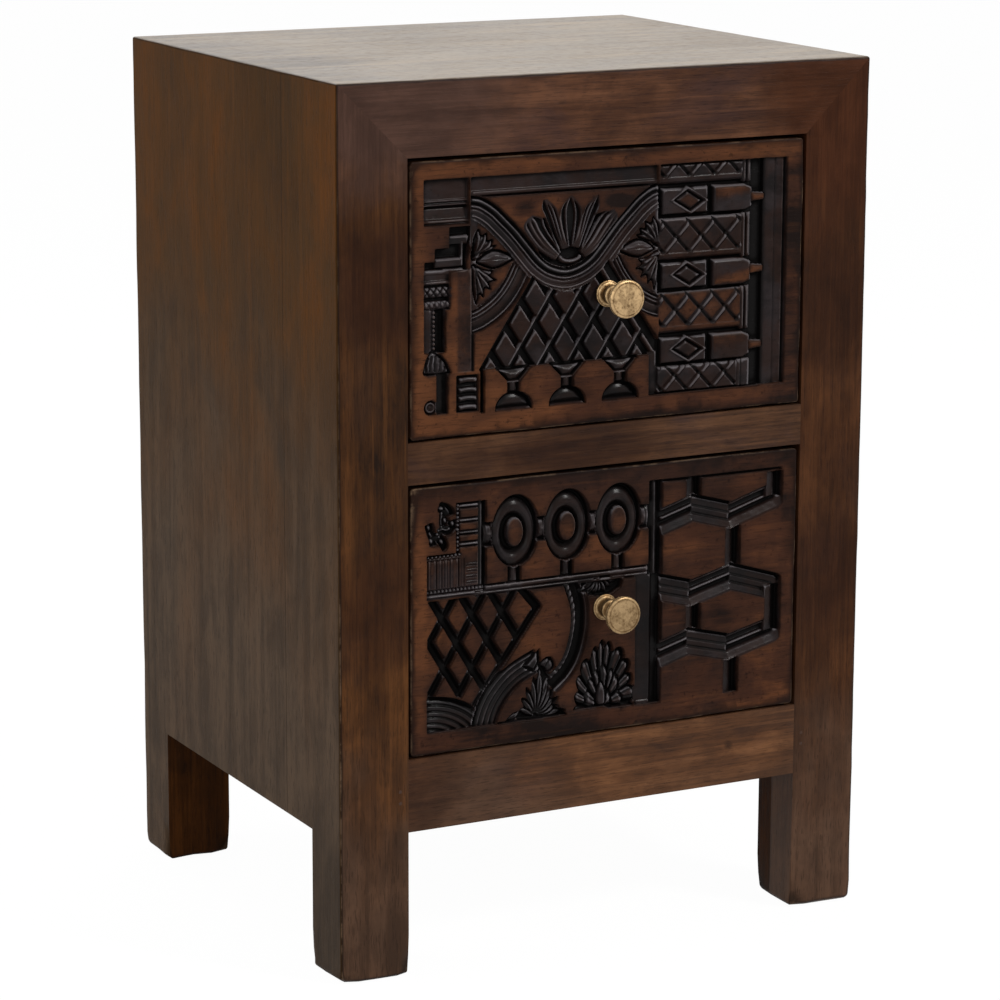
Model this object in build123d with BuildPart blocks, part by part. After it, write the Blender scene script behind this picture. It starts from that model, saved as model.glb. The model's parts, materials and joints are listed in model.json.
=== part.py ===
from build123d import *
import os

# Two-drawer bedside cabinet with a mitred face frame, plank sides and carved drawer fronts.
# Millimetres. X runs left to right, Y from front to back, Z up from the floor.
# The origin is on the floor, under the middle of the whole cabinet, knobs included.

# ---- carcass ----
width = 400.0
depth = 342.0
height = 600.0
edge_round = 1.5              # eased outer edges

post_width = 50.0             # face frame stile, also the front leg
post_depth = 28.0             # face frame thickness
top_rail_height = 50.0
middle_rail_height = 28.0
bottom_rail_height = 50.0
leg_clearance = 100.0         # floor to the underside of the bottom rail
tenon_length = 18.0
tenon_thickness = 9.0
tenon_shoulder = 4.0          # above and below each tenon
pin_diameter = 2.4            # pins through the lower tenons
pin_length = 20.0
pin_from_shoulder = 6.0
pin_spacing = 8.0

side_thickness = 20.0
top_thickness = 20.0
leg_depth = 45.0              # front to back, with the block behind the stile
rear_leg_width = 48.0
side_leg_clearance = 97.0     # floor to the underside of the side panel
foot_chamfer = 2.0

back_thickness = 6.0
back_lap = 14.0               # back panel's lap into each rear post
rear_rail_height = 50.0
rear_rail_thickness = 22.0
bottom_panel_thickness = 6.0
nail_diameter = 1.8
nail_length = 16.0
nail_head_diameter = 4.0
nail_head_thickness = 0.8
nail_edge = 6.0               # nail centre to the edge of the back panel
nails_per_side = 5

# ---- drawer guidance ----
runner_ledge = 16.0           # how far a runner reaches in past the guide
guide_height = 20.0
stop_width = 20.0
stop_depth = 18.0
stop_height = 40.0
stop_lift = 8.0               # runner to the underside of a stop
stop_gap = 0.3                # drawer back to stop, drawer shut
running_gap = 0.3             # drawer side to runner
side_play = 2.0               # opening to the drawer box, each side

# ---- drawers ----
gap_side = 1.5                # carved front to the opening
gap_top = 2.0
gap_bottom = 1.0
front_thickness = 20.0
front_round = 2.5             # worn edges of a carved front
box_rear_clearance = 6.0      # drawer box to the rear rails
box_headroom = 10.0           # top of a drawer box to the opening above it
box_front_thickness = 12.0
box_side_thickness = 11.0
box_back_thickness = 11.0
box_bottom_thickness = 5.0
box_back_drop = 10.0          # the box back is this much lower than the sides
groove_lift = 8.0             # lower edge of a side to its groove
groove_depth = 5.0
tail_count = 4
tail_slope = 2.0              # each side of a tail leans this much over its length
box_round = 1.0               # eased top edges of the box sides

front_screw_diameter = 3.5
front_screw_length = 24.0
front_screw_head = 7.0
front_screw_head_depth = 2.2
front_screw_inset_x = 60.0
front_screw_inset_z = 30.0

# ---- knobs ----
knob_offset_x = -2.5          # knob axis from the middle of the opening
knob_offset_z = -5.0
knob_radius = 12.9
knob_length = 27.4            # cabinet front to the knob's face
knob_rim = 3.2                # thickness of the head's edge
knob_rim_round = 1.2          # turned edge between face and rim
knob_face_dome = 0.4
knob_flange = 1.4             # step under the rim
knob_neck_radius = 4.4
knob_neck_flare = 2.0
knob_collar_radius = 7.0
knob_collar_height = 4.0      # backplate to the collar's ridge
knob_collar_edge = 1.4
knob_foot_radius = 6.2
knob_foot_waist = 0.8
backplate_radius = 9.0
backplate_thickness = 2.4
backplate_step = 1.2
backplate_landing = 1.0       # flat wood left round the backplate
knob_screw_diameter = 4.0
knob_screw_bite = 9.0         # screw's reach into the knob
screw_head_radius = 4.0
screw_head_height = 2.6
screw_head_crown = 0.8        # the head narrows by this much
washer_radius = 6.0
washer_thickness = 1.0
screw_clearance = 0.25        # radial, in wood and washer
thread_clearance = 0.05       # radial, in the knob
slot_width = 1.0
slot_depth = 1.2

# ---- carving ----
border_left = 10.5            # plain border round the carved field
border_right = 12.5
border_top = 13.0
border_bottom = 15.0
drawn_width = 274.0           # the field that the ornament below is drawn for
drawn_height = 155.0
shallow_cut = 2.0
deep_cut = 4.5

# ---- places worked out from the sizes above ----
front_y = (knob_length - depth) / 2
back_y = front_y + depth
frame_back_y = front_y + post_depth
half_width = width / 2
opening_half = half_width - post_width
opening_height = (height - leg_clearance - bottom_rail_height - middle_rail_height - top_rail_height) / 2
lower_floor = leg_clearance + bottom_rail_height
upper_floor = lower_floor + opening_height + middle_rail_height
top_rail_z = height - top_rail_height
inner_half = half_width - side_thickness
under_top = height - top_thickness
rear_post_half = half_width - rear_leg_width
rear_post_y = back_y - leg_depth
back_panel_y = back_y - back_thickness
runner_z = lower_floor - middle_rail_height
bottom_panel_z = runner_z - bottom_panel_thickness
box_half = opening_half - side_play
box_front_y = front_y + front_thickness
box_back_y = back_panel_y - rear_rail_thickness - box_rear_clearance
box_height = opening_height - running_gap - box_headroom

levels = (("lower", lower_floor), ("upper", upper_floor))
hands = (("left", -1), ("right", 1))
into_wood = (Align.CENTER, Align.CENTER, Align.MIN)

os.makedirs("parts", exist_ok=True)


def span(sign, near, far):
    """Low and high X of a piece that lies from near to far on one side of the middle."""
    return tuple(sorted((sign * near, sign * far)))


def block(x_span, y_span, z_span, mode=Mode.ADD):
    """A rectangular block between its limits."""
    limits = (x_span, y_span, z_span)
    size = [high - low for low, high in limits]
    middle = [(low + high) / 2 for low, high in limits]
    with Locations(tuple(middle)):
        Box(*size, mode=mode)


def save(part, name):
    """Label a finished piece and write it."""
    part.label = name
    export_step(part, "parts/" + name + ".step")


def cross_rail(half, y_span, z_span):
    """A rail between two posts, with a stub tenon on each end."""
    block((-half, half), y_span, z_span)
    middle_y = sum(y_span) / 2
    tenon_y = (middle_y - tenon_thickness / 2, middle_y + tenon_thickness / 2)
    tenon_z = (z_span[0] + tenon_shoulder, z_span[1] - tenon_shoulder)
    block((-half - tenon_length, half + tenon_length), tenon_y, tenon_z)


# The outer envelope eases every outside edge of the carcass by the same round.
with BuildPart() as chamfered_box:
    block((-half_width, half_width), (front_y, back_y), (0, height))
    chamfer(chamfered_box.faces().sort_by(Axis.Z)[0].edges(), foot_chamfer)

with BuildPart() as envelope:
    block((-half_width, half_width), (front_y, back_y), (0, height))
    fillet(envelope.edges().filter_by(Axis.Z), edge_round)
    fillet(envelope.faces().sort_by(Axis.Z)[-1].edges(), edge_round)
    add(chamfered_box.part, mode=Mode.INTERSECT)

# ---- top and face frame ----
# The top is bevelled at 45 degrees on its two sides and front, where the frame and sides meet it.
with BuildPart() as top_panel:
    with BuildSketch(Plane.XY.offset(height)):
        with Locations((0, (front_y + back_y + top_thickness) / 2)):
            Rectangle(width, depth + top_thickness)
    extrude(amount=-top_thickness, taper=45)
    block((-width, width), (back_y, back_y + 2 * top_thickness), (0, height + 1), mode=Mode.SUBTRACT)
    top_bevels = top_panel.part
    add(envelope.part, mode=Mode.INTERSECT)
save(top_panel.part, "top_panel")

with BuildPart() as top_rail:
    with BuildSketch(Plane.XZ.offset(-front_y)):
        with BuildLine():
            Polyline(
                (-opening_half, top_rail_z),
                (opening_half, top_rail_z),
                (half_width, height),
                (-half_width, height),
                close=True,
            )
        make_face()
    extrude(amount=-post_depth)
    add(top_bevels, mode=Mode.SUBTRACT)
    add(envelope.part, mode=Mode.INTERSECT)
save(top_rail.part, "top_rail")

with BuildPart() as middle_rail:
    cross_rail(opening_half, (front_y, frame_back_y), (upper_floor - middle_rail_height, upper_floor))
save(middle_rail.part, "middle_rail")

pin_x = opening_half + pin_from_shoulder
pin_z = leg_clearance + bottom_rail_height / 2
with BuildPart() as tenon_pins:
    with BuildSketch(Plane.XZ.offset(-front_y)):
        for _, sign in hands:
            with Locations((sign * pin_x, pin_z - pin_spacing / 2), (sign * pin_x, pin_z + pin_spacing / 2)):
                Circle(pin_diameter / 2)
    extrude(amount=-pin_length)
save(tenon_pins.part, "tenon_pins")

with BuildPart() as bottom_rail:
    cross_rail(opening_half, (front_y, frame_back_y), (leg_clearance, lower_floor))
    add(tenon_pins.part, mode=Mode.SUBTRACT)
save(bottom_rail.part, "bottom_rail")

for hand, sign in hands:
    with BuildPart() as front_post:
        with BuildSketch(Plane.XZ.offset(-front_y)):
            with BuildLine():
                Polyline(
                    (sign * half_width, 0),
                    (sign * opening_half, 0),
                    (sign * opening_half, top_rail_z),
                    (sign * half_width, height),
                    close=True,
                )
            make_face()
        extrude(amount=-post_depth)
        add(top_bevels, mode=Mode.SUBTRACT)
        add(middle_rail.part, mode=Mode.SUBTRACT)
        add(bottom_rail.part, mode=Mode.SUBTRACT)
        add(tenon_pins.part, mode=Mode.SUBTRACT)
        add(envelope.part, mode=Mode.INTERSECT)
    save(front_post.part, hand + "_front_post")

    # The block glued behind the stile brings the front leg to its full depth.
    with BuildPart() as leg_block:
        leg_block_y = (frame_back_y, front_y + leg_depth)
        block(span(sign, opening_half, inner_half), leg_block_y, (0, bottom_panel_z))
        chamfer(leg_block.faces().sort_by(Axis.Z)[0].edges().sort_by(Axis.Y)[-1], foot_chamfer)
    save(leg_block.part, hand + "_front_leg_block")

# ---- sides ----
for hand, sign in hands:
    with BuildPart() as side_panel:
        block(span(sign, inner_half, half_width), (frame_back_y, back_y), (0, height))
        notch_y = (front_y + leg_depth, rear_post_y)
        block(span(sign, 0, width), notch_y, (-1, side_leg_clearance), mode=Mode.SUBTRACT)
        add(top_bevels, mode=Mode.SUBTRACT)
        add(envelope.part, mode=Mode.INTERSECT)
    save(side_panel.part, hand + "_side_panel")

# ---- back ----
back_half = rear_post_half + back_lap
back_z = (leg_clearance, under_top)
nail_step = (back_z[1] - back_z[0] - 2 * nail_edge) / (nails_per_side - 1)
with BuildPart() as back_nails:
    for _, sign in hands:
        for row in range(nails_per_side):
            nail_place = (sign * (back_half - nail_edge), back_y, back_z[0] + nail_edge + row * nail_step)
            with Locations(Location(nail_place, (90, 0, 0))):
                Cylinder(nail_diameter / 2, nail_length, align=into_wood)
                Cylinder(nail_head_diameter / 2, nail_head_thickness, align=into_wood)
save(back_nails.part, "back_nails")

rear_rail_y = (back_panel_y - rear_rail_thickness, back_panel_y)
with BuildPart() as back_bottom_rail:
    cross_rail(rear_post_half, rear_rail_y, (leg_clearance, leg_clearance + rear_rail_height))
    add(back_nails.part, mode=Mode.SUBTRACT)
save(back_bottom_rail.part, "back_bottom_rail")

with BuildPart() as back_top_rail:
    cross_rail(rear_post_half, rear_rail_y, (under_top - rear_rail_height, under_top))
    add(back_nails.part, mode=Mode.SUBTRACT)
save(back_top_rail.part, "back_top_rail")

with BuildPart() as back_panel:
    block((-back_half, back_half), (back_panel_y, back_y), back_z)
    add(back_nails.part, mode=Mode.SUBTRACT)
save(back_panel.part, "back_panel")

rear_posts = []
for hand, sign in hands:
    with BuildPart() as rear_post:
        block(span(sign, rear_post_half, inner_half), (rear_post_y, back_y), (0, under_top))
        block((-back_half, back_half), (back_panel_y, back_y), back_z, mode=Mode.SUBTRACT)
        add(back_bottom_rail.part, mode=Mode.SUBTRACT)
        add(back_top_rail.part, mode=Mode.SUBTRACT)
        add(back_nails.part, mode=Mode.SUBTRACT)
        add(envelope.part, mode=Mode.INTERSECT)
    rear_posts.append(rear_post.part)
    save(rear_post.part, hand + "_rear_post")

# ---- bottom panel, runners, guides, kickers and stops ----
with BuildPart() as bottom_panel:
    panel_y = (frame_back_y, back_panel_y - rear_rail_thickness)
    block((-inner_half, inner_half), panel_y, (bottom_panel_z, runner_z))
    for post in rear_posts:
        add(post, mode=Mode.SUBTRACT)
save(bottom_panel.part, "bottom_panel")

inside_y = (frame_back_y, rear_post_y)
for level, floor in levels:
    for hand, sign in hands:
        with BuildPart() as runner:
            block(
                span(sign, opening_half - runner_ledge, inner_half),
                inside_y,
                (floor - middle_rail_height, floor),
            )
        save(runner.part, level + "_" + hand + "_runner")

        with BuildPart() as guide:
            block(span(sign, opening_half, inner_half), inside_y, (floor, floor + guide_height))
        save(guide.part, level + "_" + hand + "_guide")

for hand, sign in hands:
    with BuildPart() as kicker:
        block(span(sign, opening_half - runner_ledge, inner_half), inside_y, (top_rail_z, under_top))
    save(kicker.part, hand + "_kicker")

for level, floor in levels:
    with BuildPart() as stops:
        stop_y = (box_back_y + stop_gap, box_back_y + stop_gap + stop_depth)
        stop_z = (floor + stop_lift, floor + stop_lift + stop_height)
        for _, sign in hands:
            block(span(sign, rear_post_half - stop_width, rear_post_half), stop_y, stop_z)
    save(stops.part, level + "_drawer_stops")


# ---- ornament of the carved fronts ----
# Every outline is drawn in millimetres from the middle of the opening, x to the right and y up,
# for a field of drawn_width by drawn_height, and stretched to the field that the front has.
front_half = opening_half - gap_side
front_top = opening_height - gap_top
field_width = 2 * front_half - border_left - border_right
field_height = front_top - gap_bottom - border_top - border_bottom
stretch_x = field_width / drawn_width
stretch_z = field_height / drawn_height
field_x = (border_left - border_right) / 2
field_z = (gap_bottom + border_bottom + front_top - border_top) / 2
drawn_x = -1.0                # the drawn field's middle, from the middle of the opening
drawn_z = 0.5


def place(points, floor):
    """The drawing's points on a front that stands on this floor."""
    return [
        (field_x + (x - drawn_x) * stretch_x, floor + field_z + (y - drawn_z) * stretch_z)
        for x, y in points
    ]


def outline(points, floor, mode=Mode.ADD):
    """A straight-sided motif."""
    with BuildLine() as edge_line:
        Polyline(*place(points, floor), close=True)
    make_face(edge_line.edges(), mode=mode)


def panel(x_span, y_span, floor, mode=Mode.ADD):
    """An upright rectangular motif."""
    (left, right), (low, high) = x_span, y_span
    outline([(left, low), (right, low), (right, high), (left, high)], floor, mode)


def strip(points, breadth, floor, mode=Mode.ADD):
    """A band of even breadth along a smooth line."""
    with BuildLine() as middle_line:
        Spline(*place(points, floor))
    trace(middle_line.line, line_width=breadth, mode=mode)


def oval(centre, radii, floor, mode=Mode.ADD):
    """An upright oval motif."""
    with Locations(place([centre], floor)[0]):
        Ellipse(radii[0] * stretch_x, radii[1] * stretch_z, mode=mode)


def bead_row(count, first, step):
    """Equal steps from a first place."""
    return [first + step * number for number in range(count)]


ogee_line = [(-103, 58), (-92, 54), (-82, 46), (-64, 26.5), (-45, 9), (-32, 6)]
ogee_line += [(-64 - x, y) for x, y in reversed(ogee_line[:-1])]
lower_arc = [(-103, -18), (-83, -8.5), (-73, 1), (-64, 17)]
lattice_field = [(-97, -49), (-60, 9), (-50, -1), (-32, -6), (-14, -1), (-4, 9), (40, -49)]
baluster = [(-11, 26), (11, 26), (4, 17), (4, 12), (14, 1), (14, 0), (-14, 0), (-14, 1), (-4, 12), (-4, 17)]
baluster_places = bead_row(3, -72, 40)
strap_rows = bead_row(3, 42, -50)
lotus_petal = [(0, 0), (5, 16), (3.5, 28), (0, 34), (-3.5, 28), (-5, 16)]


def upper_ornament(floor, cut):
    """Lotus arch over a lattice and three balusters, a column, and a strap of blocks."""
    if cut == "shallow":
        panel((-138, -105), (48, 78), floor)
        panel((-103, 35), (65, 78), floor)
        panel((-138, -121), (-73, 18), floor)
        panel((-115, -99), (-75, -52), floor)
        panel((38, 109), (-75, 78), floor)
        panel((115, 135), (-75, 78), floor)
        strip(ogee_line, 14, floor)
        strip(lower_arc, 12, floor)
        strip([(-64 - x, y) for x, y in lower_arc], 12, floor)
        outline(lattice_field, floor)
    else:
        panel((109, 115), (-75, 78), floor)
        for row in strap_rows:
            panel((74.5, 78), (row, row + 20), floor)
        panel((-130, -123), (-34, -7), floor)
        panel((-97, -94), (-77, -49), floor)
        strip([(-103, 62), (-92, 58), (-79, 49), (-62, 30), (-45, 15), (-32, 12)], 3, floor)
        for middle in baluster_places:
            outline([(middle + x, y - 78) for x, y in baluster], floor)
        for lean in (-50, -25, 0, 25, 50):
            petal = [Vector(x, y).rotate(Axis.Z, -lean) for x, y in lotus_petal]
            outline([(point.X - 31, point.Y + 27) for point in petal], floor)


ring_places = bead_row(3, -71, 39.3)
hexagon_high = [(32, 43), (67, 52), (97, 43.5), (130, 54)]
hexagon_middle = [(32, 5), (67, -4), (97, 5), (130, -5)]
hexagon_low = [(32, -47), (65, -39), (97, -50), (130, -40)]
crescent_line = [(-27, 14), (-22, -8), (-24, -28), (-32, -43), (-43, -55)]
leaf_arch = [(-93, -77), (-80, -57), (-66, -43), (-56, -36)]
shell = [(-24, -77), (-24, -48), (-16, -36), (0, -29), (13, -36), (24, -53), (23, -77)]
lattice_rows = bead_row(4, -61, 22)


def bars(points, breadth, floor):
    """Straight bars of even breadth along a bent line."""
    with BuildLine() as bent_line:
        Polyline(*place(points, floor))
    trace(bent_line.line, line_width=breadth)


def lower_ornament(floor, cut):
    """Three rings over a lattice, crescent, leaf arch and shell, beside a fret of hexagons."""
    if cut == "shallow":
        for middle in ring_places:
            oval((middle, 54), (17, 24), floor)
        panel((-100, 33), (13, 19), floor)
        panel((30, 40), (14, 78), floor)
        panel((22, 36), (-77, 12), floor)
        for line in (hexagon_high, hexagon_middle, hexagon_low):
            bars(line, 11, floor)
        for x, low, high in ((97, 5, 43), (67, -39, -4), (130, -42, -5), (130, 54, 76), (97, -76, -50)):
            bars([(x, low), (x, high)], 11, floor)
        strip(crescent_line, 10, floor)
        strip(leaf_arch, 13, floor)
        outline(shell, floor)
        panel((-136, -95), (-77, -60), floor)
    else:
        for middle in ring_places:
            oval((middle, 54), (9, 14), floor)
            oval((middle + 1, 54), (5.5, 8), floor, Mode.SUBTRACT)
        panel((-98, -93), (16, 78), floor)
        for x in lattice_rows:
            bars([(x - 62, -50), (x - 40, -15), (x - 62, 12)], 4, floor)
        panel((36, 40), (-77, 12), floor)


ornament = {"lower": lower_ornament, "upper": upper_ornament}
cut_depth = {"shallow": shallow_cut, "deep": deep_cut}


# ---- drawers ----
for level, floor in levels:
    side_z = (floor + running_gap, floor + running_gap + box_height)
    groove_z = (side_z[0] + groove_lift, side_z[0] + groove_lift + box_bottom_thickness)
    box_inner = box_half - box_side_thickness
    box_front_back_y = box_front_y + box_front_thickness
    knob_x = knob_offset_x
    knob_z = floor + opening_height / 2 + knob_offset_z
    knob_axis = Axis((knob_x, front_y, knob_z), (0, 1, 0))
    knob_section = Plane(origin=(knob_x, front_y, knob_z), x_dir=(1, 0, 0), z_dir=(0, 0, 1))
    screw_end_y = backplate_thickness + knob_screw_bite
    inside_face = front_thickness + box_front_thickness
    head_y = inside_face + washer_thickness

    # Hardware first, because the boards are bored for it.
    with BuildPart() as knob_screw:
        with BuildSketch(knob_section):
            with BuildLine():
                Polyline(
                    (0, -screw_end_y),
                    (knob_screw_diameter / 2, -screw_end_y),
                    (knob_screw_diameter / 2, head_y),
                    (screw_head_radius, head_y),
                    (screw_head_radius - screw_head_crown, head_y + screw_head_height),
                    (0, head_y + screw_head_height),
                    close=True,
                )
            make_face()
        revolve(axis=knob_axis)
        slot_bottom_y = front_y + head_y + screw_head_height - slot_depth
        block(
            (knob_x - screw_head_radius, knob_x + screw_head_radius),
            (slot_bottom_y, slot_bottom_y + screw_head_height),
            (knob_z - slot_width / 2, knob_z + slot_width / 2),
            mode=Mode.SUBTRACT,
        )
    save(knob_screw.part, level + "_knob_screw")

    washer_y = front_y + head_y
    with BuildPart() as knob_washer:
        with BuildSketch(Plane.XZ.offset(-washer_y)):
            with Locations((knob_x, knob_z)):
                Circle(washer_radius)
                Circle(knob_screw_diameter / 2 + screw_clearance, mode=Mode.SUBTRACT)
        extrude(amount=washer_thickness)
    save(knob_washer.part, level + "_knob_washer")

    with BuildPart() as knob_backplate:
        with BuildSketch(knob_section):
            with BuildLine():
                Polyline(
                    (knob_screw_diameter / 2 + screw_clearance, 0),
                    (backplate_radius, 0),
                    (backplate_radius, -backplate_step),
                    (backplate_radius - backplate_step, -backplate_thickness),
                    (knob_screw_diameter / 2 + screw_clearance, -backplate_thickness),
                    close=True,
                )
            make_face()
        revolve(axis=knob_axis)
    save(knob_backplate.part, level + "_knob_backplate")

    with BuildPart() as knob:
        with BuildSketch(knob_section):
            collar_y = backplate_thickness + knob_collar_height
            rim_y = knob_length - knob_rim
            flange_point = (knob_radius - knob_flange, -rim_y + knob_flange / 2)
            neck_point = (knob_neck_radius, -collar_y - knob_collar_edge)
            with BuildLine():
                Polyline(
                    (0, -knob_length),
                    (knob_radius - knob_rim_round, -knob_length + knob_face_dome),
                    (knob_radius, -knob_length + knob_face_dome + knob_rim_round),
                    (knob_radius, -rim_y),
                    flange_point,
                )
                Spline(
                    flange_point,
                    (knob_neck_radius + knob_neck_flare, -(rim_y + collar_y) / 2 - knob_neck_flare),
                    neck_point,
                )
                Polyline(
                    neck_point,
                    (knob_collar_radius, -collar_y),
                    (knob_collar_radius, -collar_y + knob_collar_edge),
                    (knob_foot_radius - knob_foot_waist, -collar_y + knob_collar_edge + knob_foot_waist),
                    (knob_foot_radius, -backplate_thickness),
                    (0, -backplate_thickness),
                    (0, -knob_length),
                )
            make_face()
        revolve(axis=knob_axis)
        with BuildSketch(Plane.XZ.offset(-front_y + backplate_thickness)):
            with Locations((knob_x, knob_z)):
                Circle(knob_screw_diameter / 2 + thread_clearance)
        extrude(amount=knob_screw_bite, mode=Mode.SUBTRACT)
    save(knob.part, level + "_knob")

    screw_spread_x = 2 * (front_half - front_screw_inset_x)
    screw_spread_z = box_height - 2 * front_screw_inset_z
    screw_heads = Plane(origin=(0, box_front_back_y, sum(side_z) / 2), x_dir=(1, 0, 0), z_dir=(0, -1, 0))
    shank_radius = front_screw_diameter / 2
    with BuildPart(screw_heads) as front_screws:
        with GridLocations(screw_spread_x, screw_spread_z, 2, 2):
            Cylinder(shank_radius, front_screw_length, align=into_wood)
            Cone(front_screw_head / 2, shank_radius, front_screw_head_depth, align=into_wood)
    save(front_screws.part, level + "_front_screws")

    # Carved front, flush with the face frame.
    with BuildPart() as carved_front:
        block((-front_half, front_half), (front_y, box_front_y), (floor + gap_bottom, floor + front_top))
        front_edges = carved_front.faces().sort_by(Axis.Y)[0].edges()
        fillet(front_edges, front_round)
        for cut in cut_depth:
            with BuildSketch(Plane.XZ.offset(-front_y)):
                ornament[level](floor, cut)
                with Locations((knob_x, knob_z)):
                    Circle(backplate_radius + backplate_landing, mode=Mode.SUBTRACT)
            extrude(amount=-cut_depth[cut], mode=Mode.SUBTRACT)
        add(front_screws.part, mode=Mode.SUBTRACT)
        with BuildSketch(Plane.XZ.offset(-front_y)):
            with Locations((knob_x, knob_z)):
                Circle(knob_screw_diameter / 2 + screw_clearance)
        extrude(amount=-front_thickness, mode=Mode.SUBTRACT)
    save(carved_front.part, level + "_carved_front")

    # Box sides, with tails that pass through the box front.
    tail_pitch = box_height / tail_count
    sides = []
    for hand, sign in hands:
        with BuildPart() as box_side:
            block(span(sign, box_inner, box_half), (box_front_back_y, box_back_y), side_z)
            with BuildSketch(Plane.YZ.offset(sign * box_half)):
                for number in range(tail_count):
                    low = side_z[0] + (number + 0.25) * tail_pitch
                    high = low + tail_pitch / 2
                    with BuildLine():
                        Polyline(
                            (box_front_y, low - tail_slope),
                            (box_front_y, high + tail_slope),
                            (box_front_back_y, high),
                            (box_front_back_y, low),
                            close=True,
                        )
                    make_face()
            extrude(amount=-sign * box_side_thickness)
            top_edges = box_side.faces().sort_by(Axis.Z)[-1].edges().filter_by(Axis.Y)
            fillet(top_edges, box_round)
            block(
                span(sign, box_inner - 1, box_inner + groove_depth),
                (box_front_back_y - groove_depth, box_back_y + 1),
                groove_z,
                mode=Mode.SUBTRACT,
            )
        sides.append(box_side.part)
        save(box_side.part, level + "_box_" + hand + "_side")

    with BuildPart() as box_front:
        block((-box_half, box_half), (box_front_y, box_front_back_y), side_z)
        for side in sides:
            add(side, mode=Mode.SUBTRACT)
        block(
            (-box_inner - groove_depth, box_inner + groove_depth),
            (box_front_back_y - groove_depth, box_front_back_y + 1),
            groove_z,
            mode=Mode.SUBTRACT,
        )
        add(front_screws.part, mode=Mode.SUBTRACT)
        with BuildSketch(Plane.XZ.offset(-box_front_y)):
            with Locations((knob_x, knob_z)):
                Circle(knob_screw_diameter / 2 + screw_clearance)
        extrude(amount=-box_front_thickness, mode=Mode.SUBTRACT)
    save(box_front.part, level + "_box_front")

    with BuildPart() as box_back:
        block(
            (-box_inner, box_inner),
            (box_back_y - box_back_thickness, box_back_y),
            (groove_z[1], side_z[1] - box_back_drop),
        )
    save(box_back.part, level + "_box_back")

    with BuildPart() as box_bottom:
        bottom_y = (box_front_back_y - groove_depth, box_back_y)
        block((-box_inner - groove_depth, box_inner + groove_depth), bottom_y, groove_z)
    save(box_bottom.part, level + "_box_bottom")
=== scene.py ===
"""A carved two-drawer bedside cabinet in dark stained wood, with brass knobs."""

import json

import bmesh
import bpy
import numpy as np
from bpy.props import FloatProperty, FloatVectorProperty, IntProperty, PointerProperty
from mathutils import Matrix, Vector

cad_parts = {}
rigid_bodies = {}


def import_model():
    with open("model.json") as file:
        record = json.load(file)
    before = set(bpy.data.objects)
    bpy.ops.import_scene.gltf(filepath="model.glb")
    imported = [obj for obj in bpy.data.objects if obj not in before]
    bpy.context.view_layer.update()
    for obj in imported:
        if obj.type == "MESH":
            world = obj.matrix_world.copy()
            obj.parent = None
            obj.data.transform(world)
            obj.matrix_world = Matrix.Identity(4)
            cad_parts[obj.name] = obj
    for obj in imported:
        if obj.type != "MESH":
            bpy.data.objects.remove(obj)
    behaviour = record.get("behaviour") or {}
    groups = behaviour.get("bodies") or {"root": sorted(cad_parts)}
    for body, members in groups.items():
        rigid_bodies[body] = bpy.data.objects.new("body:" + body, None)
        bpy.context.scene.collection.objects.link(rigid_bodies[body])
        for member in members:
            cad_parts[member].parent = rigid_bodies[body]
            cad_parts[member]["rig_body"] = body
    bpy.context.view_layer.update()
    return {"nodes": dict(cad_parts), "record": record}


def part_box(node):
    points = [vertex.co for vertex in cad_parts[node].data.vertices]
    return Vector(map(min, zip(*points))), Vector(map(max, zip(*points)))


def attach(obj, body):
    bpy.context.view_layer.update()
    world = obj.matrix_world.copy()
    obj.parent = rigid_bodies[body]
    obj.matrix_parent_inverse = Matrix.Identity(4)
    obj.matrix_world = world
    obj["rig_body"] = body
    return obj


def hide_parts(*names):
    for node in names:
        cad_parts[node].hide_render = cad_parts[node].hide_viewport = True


bl_info = {
    "name": "Carved bedside cabinet",
    "version": (1, 0, 0),
    "blender": (4, 5, 0),
    "location": "View3D > Sidebar > Cabinet",
    "description": "Builds the boards, carved drawer fronts, knobs and fixings of a bedside cabinet",
    "category": "Object",
}

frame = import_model()
BODY_OF = {node: made["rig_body"] for node, made in frame["nodes"].items()}
SLOT_OF = {entry["node"]: entry["material_slot"] for entry in frame["record"]["subparts"]}

MM = 0.001
LEFT_X, RIGHT_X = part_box("left_side_panel")[0].x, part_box("right_side_panel")[1].x
FRONT_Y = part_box("left_front_post")[0].y
BACK_Y, TOP_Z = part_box("right_rear_post")[1].y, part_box("top_panel")[1].z


# ---- numbers


def lattice_noise(points, size, seed):
    """Smooth noise from -1 to 1 at these points, with cells of this size."""
    cells = np.asarray(points, float) / size
    base = np.floor(cells).astype(int)
    part = cells - base
    part = part * part * (3 - 2 * part)
    table = np.random.default_rng(seed).uniform(-1, 1, 4096)
    total = np.zeros(len(cells))
    for corner in np.ndindex(2, 2, 2):
        spot = base + corner
        weight = np.prod(np.where(corner, part, 1 - part), axis=1)
        total += weight * table[(spot @ np.array([73, 179, 283])) % 4096]
    return total


def eased(points, low, high, radius, sides):
    """Points near the edges of a box, drawn in to a rounding of this radius, and how worn they are."""
    points = np.array(points, float)
    depths = np.full((len(points), 3), np.inf)
    signs = np.zeros((len(points), 3))
    for axis, end in sides:
        away = high[axis] - points[:, axis] if end > 0 else points[:, axis] - low[axis]
        nearer = away < depths[:, axis]
        depths[:, axis] = np.where(nearer, away, depths[:, axis])
        signs[:, axis] = np.where(nearer, end, signs[:, axis])
    into = np.clip(radius[:, None] - depths, 0, None)
    length = np.linalg.norm(into, axis=1)
    share = np.where(length > radius, radius / np.maximum(length, 1e-9), 1)
    points -= signs * into * (1 - share)[:, None]
    worn = np.clip(np.sort(into, axis=1)[:, 1] / np.maximum(radius, 1e-9), 0, 1)
    return points, worn


# ---- relief


def everywhere(x, z):
    """The whole board."""
    return True


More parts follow.
